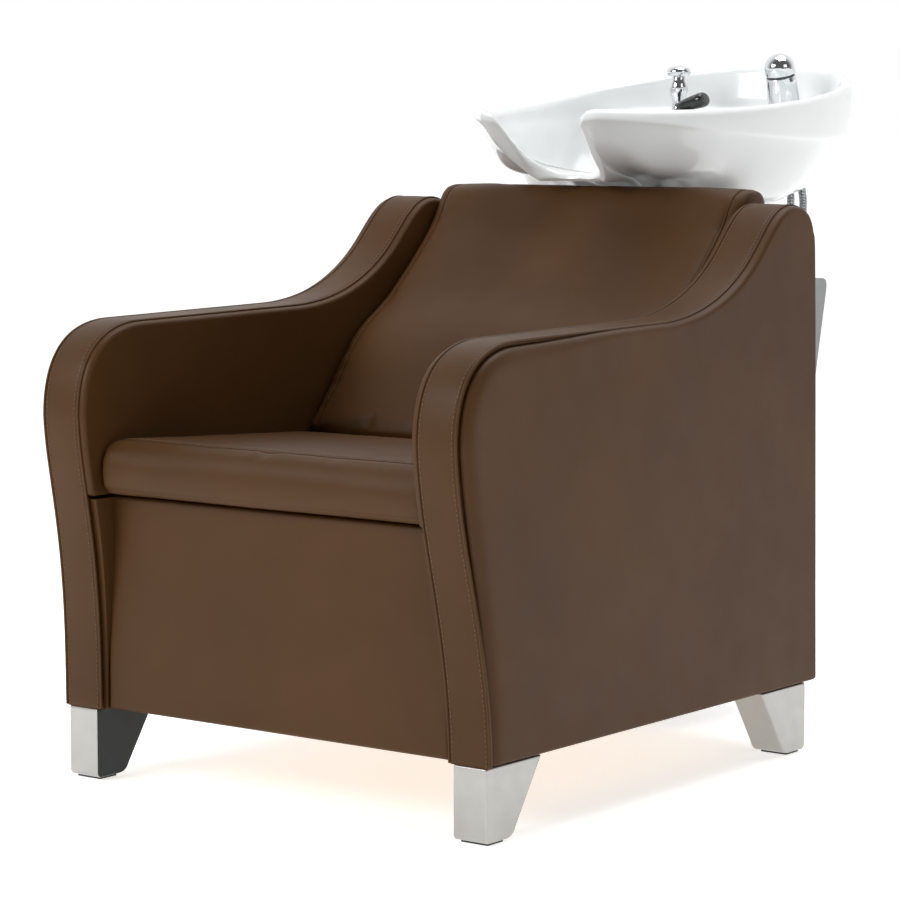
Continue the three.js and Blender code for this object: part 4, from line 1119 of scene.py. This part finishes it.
def waste():
    top, bottom, ribs = 737.7, 600.3, 18
    profile = [(0, bottom)]
    for i in range(ribs + 1):
        z = mix(bottom, top, i / ribs)
        profile.append((19, z))
        if i < ribs:
            profile.append((22, z + (top - bottom) / ribs / 2))
    profile.append((0, top))
    piece = turned("waste_hose_ribbed", profile, (0, DRAIN_Y, 0), GREY, None, ["waste_hose"],
                   round_by=2.2, sides=48)
    metre_point(0, DRAIN_Y, 610)
    metre_point(0, DRAIN_Y, 730)
    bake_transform(piece)
    trap = [(0, 470), (20, 470), (26, 471), (31, 476), (32, 482), (32, 508), (34, 509), (34, 521), (32, 522),
            (32, 568), (27, 577), (22, 582), (22, 600), (0, 600)]
    turned("bottle_trap", trap, (0, DRAIN_Y, 0), GREY, "chair", ["trap"], round_by=1.6)
    route = [(0, 927, 550), (0, 921, 550), (0, 902, 543), (0, 895, 524), (0, 895, 430), (0, 895, 120)]
    path = evenly(spline(route, 10), 6)
    tube("waste_pipe_plastic", path, WASTE_PIPE_RADIUS, GREY, "chair", ["waste_pipe"], 36)


hoses()
waste()

# ---------------------------------------------------------------- kept CAD pieces

KEPT = (
    (TIMBER, 1.0, ("seat_board", "seat_rail_front", "seat_rail_rear", "back_board", "base_board")),
    (CONSOLE_PAINT, 1.2, ("console_shell", "console_door")),
    (DARK_STEEL, 0.8, ("mounting_plate", "carrier_plate", "pivot_stand", "bowl_cradle",
                       "gusset_left", "gusset_right")),
    (CHROME, 0.4, ("door_latch", "pivot_pin", "drain_flange", "drain_nut", "strainer", "mixer_nut",
                   "valve_hot", "valve_cold")),
    (RUBBER, 0.6, ("cradle_pad", "glide_front_left", "glide_front_right", "glide_rear_left",
                   "glide_rear_right")),
    (BLACK, 0.8, ("tilt_lock_lever", "valve_knob_hot", "valve_knob_cold")),
)


def dress_kept_pieces():
    """Gives each CAD piece that stays its material and softened edges."""
    for material, width, names in KEPT:
        for name in names:
            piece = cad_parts[name]
            piece.data.materials.clear()
            piece.data.materials.append(material)
            weld = piece.modifiers.new("weld", "WELD")
            weld.merge_threshold = 0.00002
            bevel(piece, width, 2, 40)


dress_kept_pieces()

# ---------------------------------------------------------------- studio


def area_light(name, place, aim, size, power):
    data = bpy.data.lights.new(name, "AREA")
    data.shape = "RECTANGLE"
    data.size, data.size_y = size
    data.energy = power
    light = bpy.data.objects.new(name, data)
    light.location = place
    light.rotation_euler = (Vector(aim) - Vector(place)).to_track_quat("-Z", "Y").to_euler()
    bpy.context.scene.collection.objects.link(light)


def studio():
    """A pale floor, a pale backdrop that darkens behind the camera, and three soft boxes."""
    floor = bpy.data.meshes.new("floor")
    reach = 60
    corners = [(-reach, -reach, 0), (reach, -reach, 0), (reach, reach, 0), (-reach, reach, 0)]
    floor.from_pydata(corners, [], [(0, 1, 2, 3)])
    ground = bpy.data.objects.new("studio_floor", floor)
    bpy.context.scene.collection.objects.link(ground)
    m = Recipe("pale_floor", Specular_IOR_Level=0.1, Emission_Color=(1, 1, 1, 1), Emission_Strength=0.62)
    color = m.ramp(m.noise(3, 4), (0.86, 0.86, 0.86), (0.88, 0.88, 0.88))
    floor.materials.append(m.finish(color, m.span(m.noise(9, 4), 0.6, 0.7)))

    world = bpy.data.worlds.new("studio")
    world.use_nodes = True
    bpy.context.scene.world = world
    tree = world.node_tree
    place = tree.nodes.new("ShaderNodeTexCoord")
    facing = tree.nodes.new("ShaderNodeVectorMath")
    facing.operation = "DOT_PRODUCT"
    facing.inputs[1].default_value = (-0.605, 0.796, 0)
    tree.links.new(place.outputs["Generated"], facing.inputs[0])
    fade = tree.nodes.new("ShaderNodeMapRange")
    fade.interpolation_type = "SMOOTHSTEP"
    fade.inputs["From Min"].default_value = -0.35
    fade.inputs["From Max"].default_value = 0.55
    fade.inputs["To Min"].default_value = 0.12
    fade.inputs["To Max"].default_value = 1.0
    tree.links.new(facing.outputs["Value"], fade.inputs["Value"])
    tree.links.new(fade.outputs[0], tree.nodes["Background"].inputs["Strength"])
    tree.nodes["Background"].inputs["Color"].default_value = (1, 1, 1, 1)

    area_light("key", (-1.6, -4.2, 2.9), (0, -0.2, 0.5), (2.4, 2.0), 124)
    area_light("side", (4.2, -0.6, 2.4), (0, 0, 0.5), (2.0, 2.0), 16)
    area_light("top", (0.3, 0.6, 3.6), (0, 0.1, 0.6), (2.2, 2.2), 54)
    bpy.context.scene.view_settings.view_transform = "Standard"


studio()
